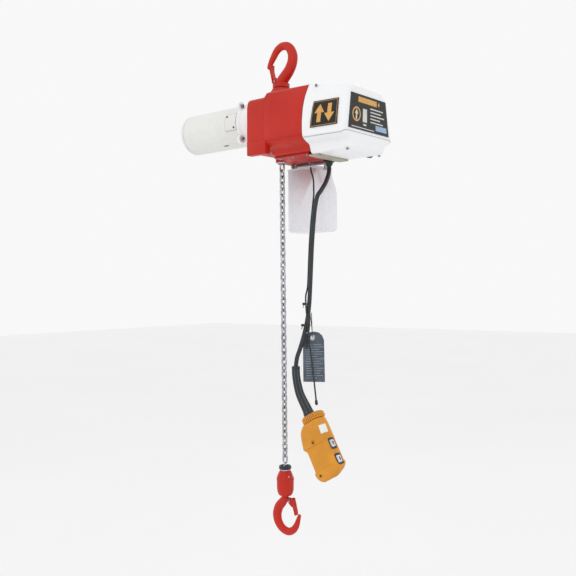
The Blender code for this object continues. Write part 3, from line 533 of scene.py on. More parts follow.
def tied(name, z, centre, half, turn):
    """A cable tie round the cord and its support wire, with its lock on the left."""
    bm = bmesh.new()
    cx, cy = centre
    points = []
    for i in range(28):
        t = math.tau * i / 28
        x, y = half[0] * math.cos(t), half[1] * math.sin(t)
        points.append((
            cx + x * math.cos(turn) - y * math.sin(turn), cy + x * math.sin(turn) + y * math.cos(turn), z
        ))
    tube(bm, points, 1.0, 8, closed=True)
    left = Vector((cx - half[0] - 1.6, cy - 1.5, z))
    rounded_box(bm, left - Vector((2.4, 2.3, 2.4)), left + Vector((2.4, 2.3, 2.4)), 0.6)
    tube(bm, [left + Vector((0, 0, -1)), left + Vector((-1.5, -0.5, -5)), left + Vector((-2.0, -0.8, -8))],
        0.7, 6)
    made(name, bm, "black_plastic", "pendant", sharp=40)


def cord_ties():
    tied("cable_tie_upper", -505, (79.3, -23.2), (6.0, 6.6), 0.0)
    tied("cable_tie_lower", -546, (75.2, -21.2), (7.2, 5.8), 0.3)
    bm = bmesh.new()
    tail = smooth([(77.5, -14.6, -520), (75.6, -14.0, -545), (72.6, -13.6, -565), (69.5, -12.8, -580),
        (68, -12.4, -591.5)], 4)
    tube(bm, tail, [1.9] * (len(tail) - 1) + [1.3], 12)
    made("cord_tail", bm, "black_rubber", "pendant", sharp=50)


cord_ties()

# ---------------------------------------------------------------- housing and cover

HOUSING_X0, STEP_X0, STEP_X1, JOINT_X, COVER_X1 = -22.0, 20.0, 23.0, 114.0, 207.6
MOTOR_Z, MOTOR_R = -137.5, 42.0
SKIRT = [(80.3, -170), (80.5, -188), (79.3, -198.5), (70, -205.5), (58.5, -209.5), (54, -220)]
LOW_SKIRT = SKIRT[:-1] + [(54, -212)]
LOW_TOP = [(66, -107), (76, -111), (79.5, -122), (80, -144)]
HIGH_TOP = [(60, -97), (74, -103), (78.5, -120), (79.8, -144)]
JOINT_TOP = [(50, -96), (58, -99), (70, -122), (77, -144)]
END_TOP = [(46, -109), (58, -115), (65, -128), (71.5, -158)]
END_SKIRT = [(75, -175), (77.5, -190), (79.5, -199.5), (70, -206.5), (60, -210), (52, -226)]
COVER_SKIRT = SKIRT[:-1] + [(53, -226)]


def section(x, half, inset=0.0, radius=5.0, middle=-160.0):
    """A closed, rounded ring at x from a half outline, drawn in by an inset."""
    half = [(y - inset, z - math.copysign(inset, z - middle)) for y, z in half]
    outline = half + [(-y, z) for y, z in reversed(half)]
    return [(x, y, z) for y, z in fillet(outline, radius, 5)]


def ease(start, end, inset, steps=4):
    """Places and insets of a rounded edge between start and end, where start is the outer face."""
    rows = []
    for i in range(steps + 1):
        t = math.radians(90 * i / steps)
        rows.append((start + (end - start) * (1 - math.cos(t)), inset * (1 - math.sin(t))))
    return rows


def mixed(first, second, t):
    return [(a + (c - a) * t, b + (d - b) * t) for (a, b), (c, d) in zip(first, second)]


def housing():
    low, high, joint = LOW_TOP + LOW_SKIRT, HIGH_TOP + SKIRT, JOINT_TOP + SKIRT
    rings = [section(x, low, inset) for x, inset in ease(HOUSING_X0, HOUSING_X0 + 3.0, 3.0)]
    rings += [section(x, low) for x in (-8, 6, STEP_X0 - 1.5)]
    rings += [section(STEP_X0 - 0.2, low, -0.1), section(STEP_X0 + 1.4, mixed(low, high, 0.5))]
    rings += [section(STEP_X1 - 0.2, high, 0.5), section(STEP_X1 + 1.2, high)]
    rings += [section(STEP_X1 + (JOINT_X - STEP_X1) * t, mixed(high, joint, t)) for t in (0.2, 0.4, 0.6, 0.8)]
    rings += [section(JOINT_X - 1.2, joint), section(JOINT_X - 0.3, joint, 0.3), section(JOINT_X, joint, 1.2)]
    bm = bmesh.new()
    skin(bm, rings)
    for side in (-1, 1):
        low_y, high_y = sorted((side * 66, side * 81.2))
        rounded_box(bm, (HOUSING_X0 + 0.6, low_y, -218.2), (26, high_y, -190.4), 2.2)
    rows = [
        (-112, -19, 70, 32), (-98, -18.8, 64, 29), (-90, -18.4, 54, 24), (-87, -18, 47, 21.5),
        (-83, -17.8, 34, 20), (-80.6, -17.2, 27, 19), (-80, -16.0, 25, 18),
    ]
    rings = []
    for z, left, right, half in rows:
        outline = [(left, -half), (right, -half), (right, half), (left, half)]
        rings.append([(x, y, z) for x, y in fillet(outline, 15, 8)])
    skin(bm, rings)
    lathe(bm, [(20, -104), (19.4, -84), (19.0, -79.5), (18.4, -77.2), (17.2, -76.2), (9, -76.1), (8.6, -79),
        (8.6, -104)], steps=64)
    lathe(bm, [(10.2, -209), (12.5, -209), (12.5, -219.4), (11.9, -220), (10.2, -220)], steps=48)
    rounded_box(bm, (-11.5, 15, -219.8), (24, 52, -209), 1.5)
    body = made("gear_housing", bm, "red_paint", "hoist_body", replaces=("main_housing",), sharp=30)
    bm = bmesh.new()
    for side in (-1, 1):  # raised line along the skirt
        line = [(x, side * 80.35, -193.6) for x in (30, 50, 70, 90, JOINT_X - 2)]
        tube(bm, line, 1.0, 10)
    made("housing_ridge", bm, "red_paint", "hoist_body")
    return body


def bottom_plate():
    bm = bmesh.new()
    rounded_box(bm, (20, -47, -224), (104, 50, -220.3), 0.8)
    rounded_box(bm, (-12, 14, -223.9), (72, 64, -220.4), 0.8)
    rounded_box(bm, (2, -8, -223.8), (26, 20, -220.5), 0.8)
    lathe(bm, [(10.2, -220.6), (12.5, -220.6), (12.5, -223.2), (12.0, -223.7), (10.2, -223.7),
        (10.2, -220.6)], steps=48)
    made("floor_plate", bm, "red_paint", "hoist_body", replaces=("bottom_plate",))
    corners = ((30, -40), (96, -40), (97, 43), (-5, 58), (64, 57), (62, -41))
    spots = [((x, y, -224.0), (0, 0, -1)) for x, y in corners]
    screw_heads("plate_screws", spots, 3.4, "steel", "hoist_body")


def cover():
    near, far = JOINT_TOP + COVER_SKIRT, END_TOP + END_SKIRT
    end = COVER_X1 - 7.0
    rings = [section(JOINT_X + 0.3, near, 1.6), section(JOINT_X + 0.8, near, 0.5),
        section(JOINT_X + 2.0, near)]
    rings += [section(JOINT_X + (end - JOINT_X) * t, mixed(near, far, t)) for t in (0.1, 0.25, 0.4, 0.55,
        0.7, 0.85, 1.0)]
    for x, inset in reversed(ease(COVER_X1, end, 7.0, 5)[:-1]):
        rings.append(section(x, far, inset))
    bm = bmesh.new()
    skin(bm, rings)
    made("control_cover", bm, "white_paint", "hoist_body", replaces=("controller_cover",), sharp=28)
    # A grey line along the cover's lip, round both sides and the end: painted shade under the lip.
    bm = bmesh.new()
    half = []
    for i in range(13):
        x = JOINT_X + 1.5 + (end - JOINT_X - 1.5) * i / 12
        y, z = mixed(COVER_SKIRT, END_SKIRT, (x - JOINT_X) / (end - JOINT_X))[2]
        half.append((x, y - 0.9, z - 0.9))
    half += [(204.2, 77.6, -199.0), (206.6, 75.0, -197.6), (207.6, 71.0, -196.6), (207.6, 40.0, -196.4)]
    line = [(x, -y, z) for x, y, z in half] + [(x, y, z) for x, y, z in reversed(half)]
    tube(bm, smooth(line, 6), 0.6, 8, round_ends=True)
    made("cover_lip_shade_line", bm, SHADE_AND_SEAM_GREY, "hoist_body")
    seal = [section(x, near, inset) for x, inset in ((JOINT_X - 0.6, 1.5), (JOINT_X - 0.4, 0.9),
        (JOINT_X + 0.8, 0.9), (JOINT_X + 1, 1.5))]
    bm = bmesh.new()
    skin(bm, seal)
    made("cover_seal", bm, "black_rubber", "hoist_body")
    spots = [
        ((134, -60.6, -104.0), (0, -0.8, 0.6)), ((134, 60.6, -104.0), (0, 0.8, 0.6)),
        ((196, -52, -226.2), (0, 0, -1)), ((196, 52, -226.2), (0, 0, -1)), ((128, -44, -226.2), (0, 0, -1)),
    ]
    screw_heads("cover_screws", spots, 2.6, "steel", "hoist_body")


def cover_half(x):
    t = (x - JOINT_X) / (COVER_X1 - 7.0 - JOINT_X)
    return mixed(JOINT_TOP + COVER_SKIRT, END_TOP + END_SKIRT, t)


def cover_side(x, z):
    """Half the cover's width at a place on its side."""
    half = cover_half(x)
    for (y0, z0), (y1, z1) in zip(half, half[1:]):
        if z1 <= z <= z0:
            return y0 + (y1 - y0) * (z - z0) / (z1 - z0)
    return half[-1][0]


SIDE_LABEL = BVHTree.FromObject(NODES["side_label"], bpy.context.evaluated_depsgraph_get())


def side_place(u, v, out):
    """From across and up the side label to a point on its face."""
    z = -185.0 + 48.0 * v
    x = 134.0 + 4.0 * v + (58.5 - 6.0 * v) * u
    hit = SIDE_LABEL.ray_cast(Vector((x * MM, -0.2, z * MM)), Vector((0, 1, 0)))[0]
    y = hit.y / MM if hit else -cover_side(x, z) - 0.9
    return x, y - 0.04 - out, z


def end_place(u, v, out):
    """From across and up the end label to a point on its face."""
    z = -191.0 + 64.0 * v
    half = 66.0 - 10.0 * v
    return COVER_X1 + 1.14 + out, -half + 2 * half * u, z


def box_shape(u0, v0, u1, v1):
    return [(u0, v0), (u1, v0), (u1, v1), (u0, v1)]


def ring_shapes(cu, cv, ru, rv, width, count=28):
    outer = arc(cu, cv, ru, rv, 0, 360, count)
    inner = arc(cu, cv, ru * (1 - width), rv * (1 - width), 0, 360, count)
    return [[outer[i], outer[i + 1], inner[i + 1], inner[i]] for i in range(count)]


def arrow(cu, low, high, half, stem, head):
    """An upright arrow. Swapping low and high turns it over."""
    way = 1 if high > low else -1
    neck = high - way * head
    return [
        [(cu - stem, low), (cu + stem, low), (cu + stem, neck), (cu - stem, neck)],
        [(cu - half, neck), (cu + half, neck), (cu, high)],
    ]


def labels():
    decal("side_label_arrows", arrow(0.31, 0.16, 0.86, 0.19, 0.075, 0.34) + arrow(0.69, 0.84, 0.14, 0.19,
        0.075, 0.34),
          side_place, AMBER, "hoist_body")
    frame_bars = [
        box_shape(0.03, 0.035, 0.97, 0.05), box_shape(0.03, 0.95, 0.97, 0.965),
        box_shape(0.03, 0.05, 0.042, 0.95), box_shape(0.958, 0.05, 0.97, 0.95),
    ]
    decal("side_label_frame", frame_bars, side_place, AMBER, "hoist_body")
    amber = [box_shape(0.20, 0.775, 0.72, 0.93), box_shape(0.76, 0.80, 0.80, 0.905)]
    amber += ring_shapes(0.17, 0.42, 0.105, 0.21, 0.22)
    decal("end_label_amber", amber, end_place, AMBER, "hoist_body")
    pale = arrow(0.17, 0.27, 0.57, 0.045, 0.016, 0.14)
    pale += [box_shape(0.33, 0.24, 0.44, 0.62), box_shape(0.345, 0.14, 0.425, 0.19)]
    for i, width in enumerate((0.36, 0.30, 0.38, 0.26, 0.33)):
        pale.append(box_shape(0.53, 0.655 - 0.095 * i, 0.53 + width, 0.69 - 0.095 * i))
    pale += [box_shape(0.06, 0.045, 0.62, 0.07)]
    decal("end_label_bars", pale, end_place, PALE, "hoist_body")
    decal("end_label_panel", [box_shape(0.66, 0.08, 0.95, 0.235)], end_place, BLUE, "hoist_body")


housing()
bottom_plate()
cover()
labels()

# ---------------------------------------------------------------- motor


def motor():
    axis, base = (-1, 0, 0), (0, 0, MOTOR_Z)
    bm = bmesh.new()
    lathe(bm, [
        (13.4, 22.4), (41.4, 22.4), (MOTOR_R, 23.2), (MOTOR_R, 73.4), (42.6, 75.0), (43.6, 76.0), (44, 76.6),
        (44, 83.4), (43.4, 84), (38, 84), (38, 36), (13.4, 36), (13.4, 22.4),
    ], base, axis, 96)
    spots = []
    for i in range(4):
        t = math.radians(45 + 90 * i)
        y, z = 47 * math.cos(t), MOTOR_Z + 47 * math.sin(t)
        lathe(bm, [
            (3.0, 76.4), (8.2, 76.4), (9.0, 77.2), (9.0, 83), (8.2, 83.8), (4.6, 83.8), (4.2, 83.0),
                (3.0, 83.0),
            (3.0, 76.4),
        ], (0, y, z), axis, 32)
        spots.append(((-83.2, y, z), (-1, 0, 0)))
    made("motor_mount", bm, "white_paint", "hoist_body", replaces=("motor_flange",))
    screw_heads("motor_screws", spots, 3.4, "aluminium", "hoist_body", 2.4)
    spots = [((-75.9, y, z), (1, 0, 0)) for (_, y, z), _ in spots]
    screw_heads("motor_nuts", spots, 4.2, "steel", "hoist_body", 3.0)

    bm = bmesh.new()
    lathe(bm, [
        (39, 84.3), (41.6, 84.3), (42, 84.8), (42, 236.4), (41.5, 236.8), (41.5, 237.6), (42, 238.0),
        (42, 241.6), (41.6, 242), (39, 242), (39, 84.3),
    ], base, axis, 128)
    made("motor_shell", bm, "grey_white", "hoist_body", replaces=("motor_cover",))
    bm = bmesh.new()
    profile = [(0, 242.3), (41.6, 242.3), (42, 242.8), (42, 244)]
    profile += [(31 + r, 244 + h) for r, h in [(11 * math.cos(math.radians(a)),
        11 * math.sin(math.radians(a))) for a in range(9, 91, 9)]]
    profile += [(14, 254.9), (13.4, 254.4), (12, 254.4), (11.4, 254.9), (0, 255)]
    lathe(bm, profile, base, axis, 128)
    made("motor_cap", bm, "grey_white", "hoist_body", replaces=("motor_end_cap",))
    spots = []
    for i in range(3):
        t = math.radians(30 + 120 * i)
        spots.append(((-254.2, 26 * math.cos(t), MOTOR_Z + 26 * math.sin(t)), (-1, 0, 0)))
    screw_heads("cap_screws", spots, 2.8, "steel", "hoist_body", 1.6)

    bm = bmesh.new()
    rows = []
    first, last = -18.5, 27.0
    for r in (MOTOR_R + 0.3, MOTOR_R + 1.6):
        for k in range(19):
            rows.append((r, math.radians(first + (last - first) * k / 18)))
    grid = {}
    xs = [-116, -115.2, -110, -101, -92, -86.8, -86]
    for i, (r, t) in enumerate(rows):
        for j, x in enumerate(xs):
            edge = j in (0, len(xs) - 1) or i % 19 in (0, 18)
            lift = -0.4 if edge and r > MOTOR_R + 1 else 0.0
            radius = r + lift
            grid[i, j] = bm.verts.new((x, -radius * math.cos(t), MOTOR_Z + radius * math.sin(t)))
    for layer in (0, 19):
        for i in range(18):
            for j in range(len(xs) - 1):
                bm.faces.new((grid[layer + i, j], grid[layer + i + 1, j], grid[layer + i + 1, j + 1],
                    grid[layer + i, j + 1]))
    for i in range(18):
        for j in (0, len(xs) - 1):
            bm.faces.new((grid[i, j], grid[i + 1, j], grid[i + 20, j], grid[i + 19, j]))
    for j in range(len(xs) - 1):
        for i in (0, 18):
            bm.faces.new((grid[i, j], grid[i, j + 1], grid[i + 19, j + 1], grid[i + 19, j]))
    made("brush_plate", bm, "grey_white", "hoist_body", replaces=("brush_cover",))
    # A grey ring round the brush plate's edge: painted shade along that edge.
    bm = bmesh.new()
    rim = [(-116.7, first - 0.9), (-85.3, first - 0.9), (-85.3, last + 0.9), (-116.7, last + 0.9)]
    points = []
    for (x0, t0), (x1, t1) in zip(rim, rim[1:] + rim[:1]):
        for k in range(10):
            x, t = x0 + (x1 - x0) * k / 10, math.radians(t0 + (t1 - t0) * k / 10)
            points.append((x, -(MOTOR_R + 0.2) * math.cos(t), MOTOR_Z + (MOTOR_R + 0.2) * math.sin(t)))
    tube(bm, points, 0.55, 8, closed=True)
    made("brush_plate_edge_shade", bm, SHADE_AND_SEAM_GREY, "hoist_body")
    bm = bmesh.new()
    lathe(bm, [(41.4, 241.8), (41.95, 241.8), (41.95, 242.5), (41.4, 242.5), (41.4, 241.8)], base, axis, 128)
    made("motor_seam", bm, SHADE_AND_SEAM_GREY, "hoist_body")
    spots = []
    for x, z in ((-111, -123), (-91.5, -146)):
        t = math.asin((z - MOTOR_Z) / MOTOR_R)
        r = MOTOR_R + 1.5
        spots.append(((x, -r * math.cos(t), MOTOR_Z + r * math.sin(t)), (0, -math.cos(t), math.sin(t))))
    screw_heads("brush_screws", spots, 2.0, "black_plastic", "hoist_body", 1.4)
    bm = bmesh.new()
    t = math.radians(-64)
    slot_at = Vector((-135, -MOTOR_R * math.cos(t), MOTOR_Z + MOTOR_R * math.sin(t)))
    rounded_box(bm, slot_at - Vector((6, 1.2, 0.9)), slot_at + Vector((6, 1.2, 0.9)), 0.6,
        Matrix.Rotation(-t, 3, "X"))
    made("drain_slot", bm, "black_plastic", "hoist_body")


motor()

# ---------------------------------------------------------------- hooks


def forged(name, path, body, replaced, extra=None):
    """A forged hook: a bar along a path of (x, z, radius), flattened across, with round ends."""
    points = smooth([(x, 0, z) for x, z, _ in path], 2.2)
    knots = [Vector((x, 0, z)) for x, z, _ in path]
    radii = []
    for p in points:
        order = sorted(range(len(knots)), key=lambda i: (knots[i] - p).length)[:2]
        a, b = (knots[i] for i in order)
        da, db = (p - a).length, (p - b).length
        t = da / (da + db)
        radii.append(path[order[0]][2] * (1 - t) + path[order[1]][2] * t)
    for _ in range(4):
        radii = [radii[0]] + [(a + b + c) / 3 for a, b, c in zip(radii, radii[1:], radii[2:])] + [radii[-1]]
    bm = bmesh.new()
    tube(bm, points, radii, 28, flat=0.8, round_ends=True)
    if extra:
        extra(bm)
    return made(name, bm, "red_paint", body, replaces=replaced, sharp=40)


def top_hook():
    path = [
        (-31, -28, 4.8), (-26, -19, 6.2), (-19, -9, 7), (-10, 2, 7.6), (0, 7.4, 8), (9, 8, 8), (19, 4.5, 8.6),
        (27, -5, 9.6), (30.5, -17, 10.5), (28.5, -30, 11), (21, -43, 11.5), (11, -53, 12), (3, -61, 12.4),
        (0, -68, 12.6),
    ]

    def extra(bm):
        lathe(bm, [
            (0, -64.6), (12.5, -64.6), (14.0, -66.0), (16.2, -66.2), (17, -67), (17, -74.4), (16.2, -75.2),
            (7.5, -75.2), (7.5, -125), (0, -125.4),
        ], steps=64)
        rounded_box(bm, (-14.8, -2.5, -63.2), (0, 2.5, -56), 1.0)
        lathe(bm, [(0, -3.1), (3.6, -3.1), (3.6, 3.1), (0, 3.1)], (-12, 0, -60), (0, 1, 0), 24)

    forged("top_hook_forging", path, "top_hook_body", ("top_hook",), extra)


def bottom_hook():
    path = [
        (0, -888, 6.6), (-1.5, -895, 8), (-8.5, -904, 9.2), (-17, -914, 9.7), (-22, -929, 9.7),
            (-19, -944, 8.9),
        (-8.5, -955.5, 8.2), (6, -959.7, 7.8), (18.5, -955, 7.2), (27, -945, 6.4), (32, -933, 5),
            (35.5, -923, 3.4),
    ]

    def extra(bm):
        lathe(bm, [(0, -862), (6.4, -862), (6.4, -893), (0, -893)], steps=40)
        lathe(bm, [(0, -860), (11.4, -860), (12, -861), (12, -867), (11.4, -868), (0, -868)], steps=6)
        rounded_box(bm, (0, -2.5, -900), (18, 2.5, -891.5), 1.0)
        lathe(bm, [(0, -3.1), (3.6, -3.1), (3.6, 3.1), (0, 3.1)], (15, 0, -897), (0, 1, 0), 24)

    forged("bottom_hook_forging", path, "bottom_hook_body", ("bottom_hook",), extra)


def latch_piece(name, pin, tip, body, replaced, pin_name, pin_body, half, longer, curl):
    """A pressed latch with rounded cheeks and a curled tip, and its pin."""
    px, pz = pin
    run = Vector((tip[0] - px, 0, tip[1] - pz))
    length = run.length + longer
    turn = Matrix.Rotation(math.atan2(run.x, run.z), 3, "Y")
    origin = Vector((px, 0, pz))
    bm = bmesh.new()
    outline = []
    for i in range(17):  # the strip, slightly dished, with a curled top
        t = i / 16
        z = -1.5 + (length + 1.5) * t
        back = -6.4 + 0.6 * math.sin(math.pi * t) + curl * (max(0.0, t - 0.68) / 0.32) ** 1.5
        width = half - 0.5 * t - (0.9 * max(0.0, t - 0.85) / 0.15)
        outline.append((back, width, z))
    rings = []
    for back, width, z in outline:
        ring = fillet([(back, -width), (back + 1.7, -width + 0.2), (back + 1.7, width - 0.2),
            (back, width)], 0.6, 3)
        rings.append([turn @ Vector((x, y, z)) + origin for x, y in ring])
    skin(bm, rings)
    for side in (-1, 1):
        low, high = sorted((side * 3.3, side * 5.9))
        cheek = fillet([(-6.3, 12), (-6.3, -4.2), (-3.2, -4.6), (3.6, -3.4), (3.9, 3.4), (-2.5, 12)], 2.6, 4)
        rings = [[turn @ Vector((x, y, z)) + origin for x, z in cheek] for y in (low, low + 0.01,
            high - 0.01, high)]
        skin(bm, rings)
    made(name, bm, "red_paint", body, replaces=replaced, sharp=40)
    bm = bmesh.new()
    lathe(bm, [
        (0, -7.6), (1.9, -7.6), (2.4, -7.2), (2.4, -6.4), (1.5, -6.3), (1.5, 6.3), (2.4, 6.4), (2.4, 7.2),
            (1.9, 7.6),
        (0, 7.6),
    ], (px, 0, pz), (0, 1, 0), 24)
    made(pin_name + "_rivet", bm, "steel", pin_body, replaces=(pin_name,))


def hook_bits():
    latch_piece(
        "top_latch_plate", (-12, -60), (-20, -30.5), "top_latch_body", ("top_latch",), "top_latch_pin",
        "top_hook_body", 7.6, 6.0, 4.6,
    )
    latch_piece(
        "bottom_latch_plate", (15, -897), (23.5, -925), "bottom_latch_body", ("bottom_latch",),
            "bottom_latch_pin",
        "bottom_hook_body", 6.4, 0.0, 1.3,
    )


top_hook()
bottom_hook()
hook_bits()

# ---------------------------------------------------------------- chain and lower block

PITCH, WIRE_R, LINK_REACH = 12.1, 2.0, 4.6
LINK_HALF = PITCH / 2 + WIRE_R


def link(bm, middle, along, across, sides=12):
    """One round chain link about its middle, along one direction and across another."""
    along, across = Vector(along).normalized(), Vector(across).normalized()
    straight = LINK_HALF - LINK_REACH
    outline = arc(0, straight, LINK_REACH, LINK_REACH, 0, 180, 8) + arc(0, -straight, LINK_REACH,
        LINK_REACH, 180, 360, 8)
    points = [Vector(middle) + across * x + along * z for x, z in outline]
    tube(bm, points, WIRE_R, sides, closed=True)


def hanging(name, top, count, first, body, replaced):
    bm = bmesh.new()
    middle = top - LINK_HALF - WIRE_R
    for i in range(count):
        across = (0, 1, 0) if (i + first) % 2 else (1, 0, 0)
        link(bm, (0, 0, middle - i * PITCH), (0, 0, 1), across)
    return made(name, bm, "nickel", body, replaces=replaced, sharp=80)


def chains():
    load = hanging("load_chain_links", -224.5, 49, 0, "hoist_body", ("load_chain",))
    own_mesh(load)
    hanging("end_links", -825.9, 2, 1, "lower_block", ("chain_end_links",))
    route = smooth([
        (0, 38.6, -212), (0, 39.6, -262), (6, 47, -306), (22, 52, -340), (42, 57, -351), (60, 62, -350),
            (70, 58, -342),
        (66, 48, -349), (50, 42, -353), (30, 42, -353), (12, 48, -350), (4, 60, -350), (14, 68, -352),
            (34, 69, -353),
    ], PITCH)
    bm = bmesh.new()
    for i, (a, b) in enumerate(zip(route, route[1:])):
        along = (b - a).normalized()
        side = along.cross(Vector((0, 0, 1)) if abs(along.z) < 0.9 else Vector((1, 0, 0))).normalized()
        other = along.cross(side).normalized()
        across = side if i % 2 else other
        link(bm, (a + b) / 2, along, (across + (other if i % 2 else side) * 0.3).normalized(), 10)
    made("slack_links", bm, "nickel", "hoist_body", replaces=("slack_chain",), sharp=80)


def lower_block():
    profile = [
        (8.2, -837.6), (9.6, -837.6), (10.6, -838.2), (12.6, -842), (15.0, -847.5), (17.0, -853),
            (17.6, -855),
        (17.6, -856.4), (17.2, -857.2), (17.0, -868), (16.7, -876), (15.9, -881), (14.4, -885),
            (12.6, -887.4),
        (11.6, -888), (7.2, -888), (7.2, -877.5), (14.0, -877.5), (14.0, -858), (8.2, -856), (8.2, -837.6),
    ]
    # Known fault: block_front is drawn at +Y and block_back at -Y, the reverse of their nodes.
    for name, start, node in (("block_front", 181.2, "hook_block_front"),
            ("block_back", 1.2, "hook_block_back")):
        bm = bmesh.new()
        lathe(bm, profile, steps=40, start=start, sweep=177.6)
        made(name, bm, "red_paint", "lower_block", replaces=(node,), sharp=30)
    spots = []
    for turn in (-24, -156, 24, 156):
        x, y = math.cos(math.radians(turn)), math.sin(math.radians(turn))
        spots.append(((15.3 * x, 15.3 * y, -849.0), (x, y, 0.42)))
    screw_heads("block_screws", spots, 1.9, "nickel", "lower_block", 1.0)
    # A pale grey ring at the block's neck, under the bumper: a painted highlight on the neck.
    bm = bmesh.new()
    lathe(bm, [
        (8.3, -835.6), (9.7, -835.6), (10.0, -836.0), (10.0, -837.8), (9.6, -838.4), (8.3, -838.4),
            (8.3, -835.6),
    ], steps=48)
    made("block_neck_highlight", bm, "button_grey", "lower_block")
    bm = bmesh.new()
    lathe(bm, [
        (8.2, -830.3), (11.6, -830.3), (12.2, -830.8), (12.4, -832), (12.0, -832.8), (12.4, -833.6),
            (12.2, -835),
        (11.4, -835.8), (8.2, -835.8), (8.2, -830.3),
    ], steps=48)
    made("bumper_ring", bm, "navy_rubber", "lower_block", replaces=("chain_bumper",))
    bm = bmesh.new()
    lathe(bm, [
        (8.2, -828.5), (10.8, -828.5), (11.7, -829), (11.9, -830.1), (11.2, -830.5), (8.2, -830.5),
            (8.2, -828.5),
    ], steps=48)
    made("bumper_disc", bm, "navy_rubber", "lower_block", replaces=("bumper_washer",))
    bm = bmesh.new()
    lathe(bm, [
        (8.2, -217.5), (9.8, -217.5), (9.8, -225.6), (9.2, -226.5), (8.6, -226.5), (8.2, -226.0),
            (8.2, -217.5)
    ], steps=48)
    made("guide_ring", bm, "nickel", "hoist_body", replaces=("chain_guide",))


chains()
lower_block()

# ---------------------------------------------------------------- chain container


def container():
    outline = [(-13, -233), (-13, -362), (80, -362), (80, -280), (68, -250), (67, -233)]
    corners = [0.5, 7.0, 11.0, 12.0, 8.0, 0.5]

    def ring(y, inset):
        pts = []
        total = len(outline)
        for i, point in enumerate(outline):
            p = Vector(point)
            a, b = Vector(outline[i - 1]) - p, Vector(outline[(i + 1) % total]) - p
            reach = min(corners[i], a.length * 0.48, b.length * 0.48)
            start, end = p + a.normalized() * reach, p + b.normalized() * reach
            for k in range(9):
                t = k / 8
                pts.append(start * (1 - t) ** 2 + p * 2 * t * (1 - t) + end * t * t)
        centre = Vector((33, -300))
        out = []
        for p in pts:
            d = p - centre
            shrink = Vector((math.copysign(min(inset, abs(d.x)), d.x),
                math.copysign(min(inset, abs(d.y)), d.y)))
            if p.y > -233.6:
                shrink.y = 0.0
            q = p - shrink
            out.append((q.x, y, q.y))
        return out

    bm = bmesh.new()
    rows = [(31 + 5 * (1 - math.cos(math.radians(a))), 5 * (1 - math.sin(math.radians(a)))) for a in (0, 22,
        45, 67, 90)]
    rows = rows + [(55, 0.0)] + [(110 - y, inset) for y, inset in reversed(rows)]
    skin(bm, [ring(y, inset) for y, inset in rows])
    top = [f for f in bm.faces if all(v.co.z > -233.7 for v in f.verts)]
    bmesh.ops.delete(bm, geom=top, context="FACES")
    shell = made("container_shell", bm, "clear_plastic", "hoist_body", replaces=("chain_container",),
        sharp=50)
    thick = shell.modifiers.new("Wall", "SOLIDIFY")
    thick.thickness = 2.0 * MM
    thick.offset = -1.0
    bm = bmesh.new()
    rim = [(-13.4, 31.6), (67.4, 31.6), (67.4, 78.4), (-13.4, 78.4)]
    tube(bm, [(x, y, -234.6) for x, y in fillet(rim, 5, 5)], 1.3, 8, closed=True)
    made("container_rim", bm, "clear_plastic", "hoist_body")


container()

# ---------------------------------------------------------------- pendant

TILT = math.radians(29.5)
TOP = Vector((78.7, HANG_Y, -717.7))
TURN = Matrix.Rotation(-TILT, 3, "Y")


def in_pendant(x, y, z):
    """A point of the pendant's own frame, whose -Z runs down its length, in the hoist's frame."""
    return TURN @ Vector((x, y, z)) + TOP


def way_out(x, y, z):
    return tuple(TURN @ Vector((x, y, z)))


SHAPE = [  # height, left, right, half depth, slant, corner radius
    (-13.9, -15, 22.5, 14, 0, 9), (-14.6, -17, 24.5, 16, 0, 10), (-19, -24, 25.6, 17.2, 0, 11),
    (-26, -30.5, 26, 18, 0, 12), (-40, -34.8, 25.4, 18.8, 0, 12), (-52, -37, 24.2, 19.4, 0, 11),
    (-55, -37.2, 23.9, 19.4, 0, 10), (-57.4, -36.4, 23.7, 19.2, 0, 9), (-58.6, -35, 23.5, 17.2, 0, 7),
    (-62, -31.6, 23.2, 16.8, 0, 6), (-66, -30.4, 23, 16.8, 0, 6), (-84, -30.6, 22.8, 17, 0, 6),
    (-100, -31, 22.6, 17.2, 0, 6), (-103.5, -31.2, 22.8, 17.2, 0.03, 6), (-105, -32.9, 23.2, 18.8, 0.06, 7),
    (-108, -33.8, 23.8, 19.2, 0.12, 8), (-114, -33.0, 24.2, 19.2, 0.2, 8), (-118, -31.2, 23.6, 19, 0.3, 8),
    (-122.5, -28.6, 22.0, 18, 0.34, 8), (-125.6, -25.0, 19.2, 16.2, 0.38, 8),
        (-126.6, -23, 17.2, 14.4, 0.4, 7),
]


def stripe(obj, look, around, period, faces, rows):
    """Gives some faces of each rib, all the way along, a second finish, here painted shade in the crown's rib
    grooves and a painted highlight on the sleeve's ridges.
    """
    obj.data.materials.append(look)
    for polygon in obj.data.polygons:
        row, place = divmod(polygon.index, around)
        if row in rows and place % period in faces:
            polygon.material_index = 1


def outline_of(left, right, depth, corner, count=7):
    points = []
    for cx, cy, start in (
        (right - corner, depth - corner, 0), (left + corner, depth - corner, 90),
        (left + corner, -depth + corner, 180), (right - corner, -depth + corner, 270),
    ):
        points += arc(cx, cy, corner, corner, start, start + 90, count)
    return points


def evenly(outline, count):
    """The closed outline, with its points spaced evenly around it."""
    points = [Vector(p) for p in outline]
    points.append(points[0])
    total, out, walked = length_of(points), [], 0.0
    for p, q in zip(points, points[1:]):
        step = (q - p).length
        while step > 1e-9 and len(out) < count and walked + step > total * len(out) / count:
            out.append(p.lerp(q, (total * len(out) / count - walked) / step))
        walked += step
    return out


def pendant_ring(z, left, right, depth, slant=0.0, corner=6.0):
    return [in_pendant(x, y, z + slant * (y + depth)) for x, y in outline_of(left, right, depth, corner)]


BUTTONS = (("raise", -67.5, "raise_button_body"), ("lower", -98.5, "lower_button_body"))


def slab(bm, rows, z, count=6):
    """A rounded block standing out of the button face. Rows are (out, half width, half height, corner)."""
    rings = []
    for x, half_y, half_z, corner in rows:
        rings.append([in_pendant(x, u, z + v) for u, v in outline_of(-half_y, half_y, half_z, corner, count)])
    skin(bm, rings)


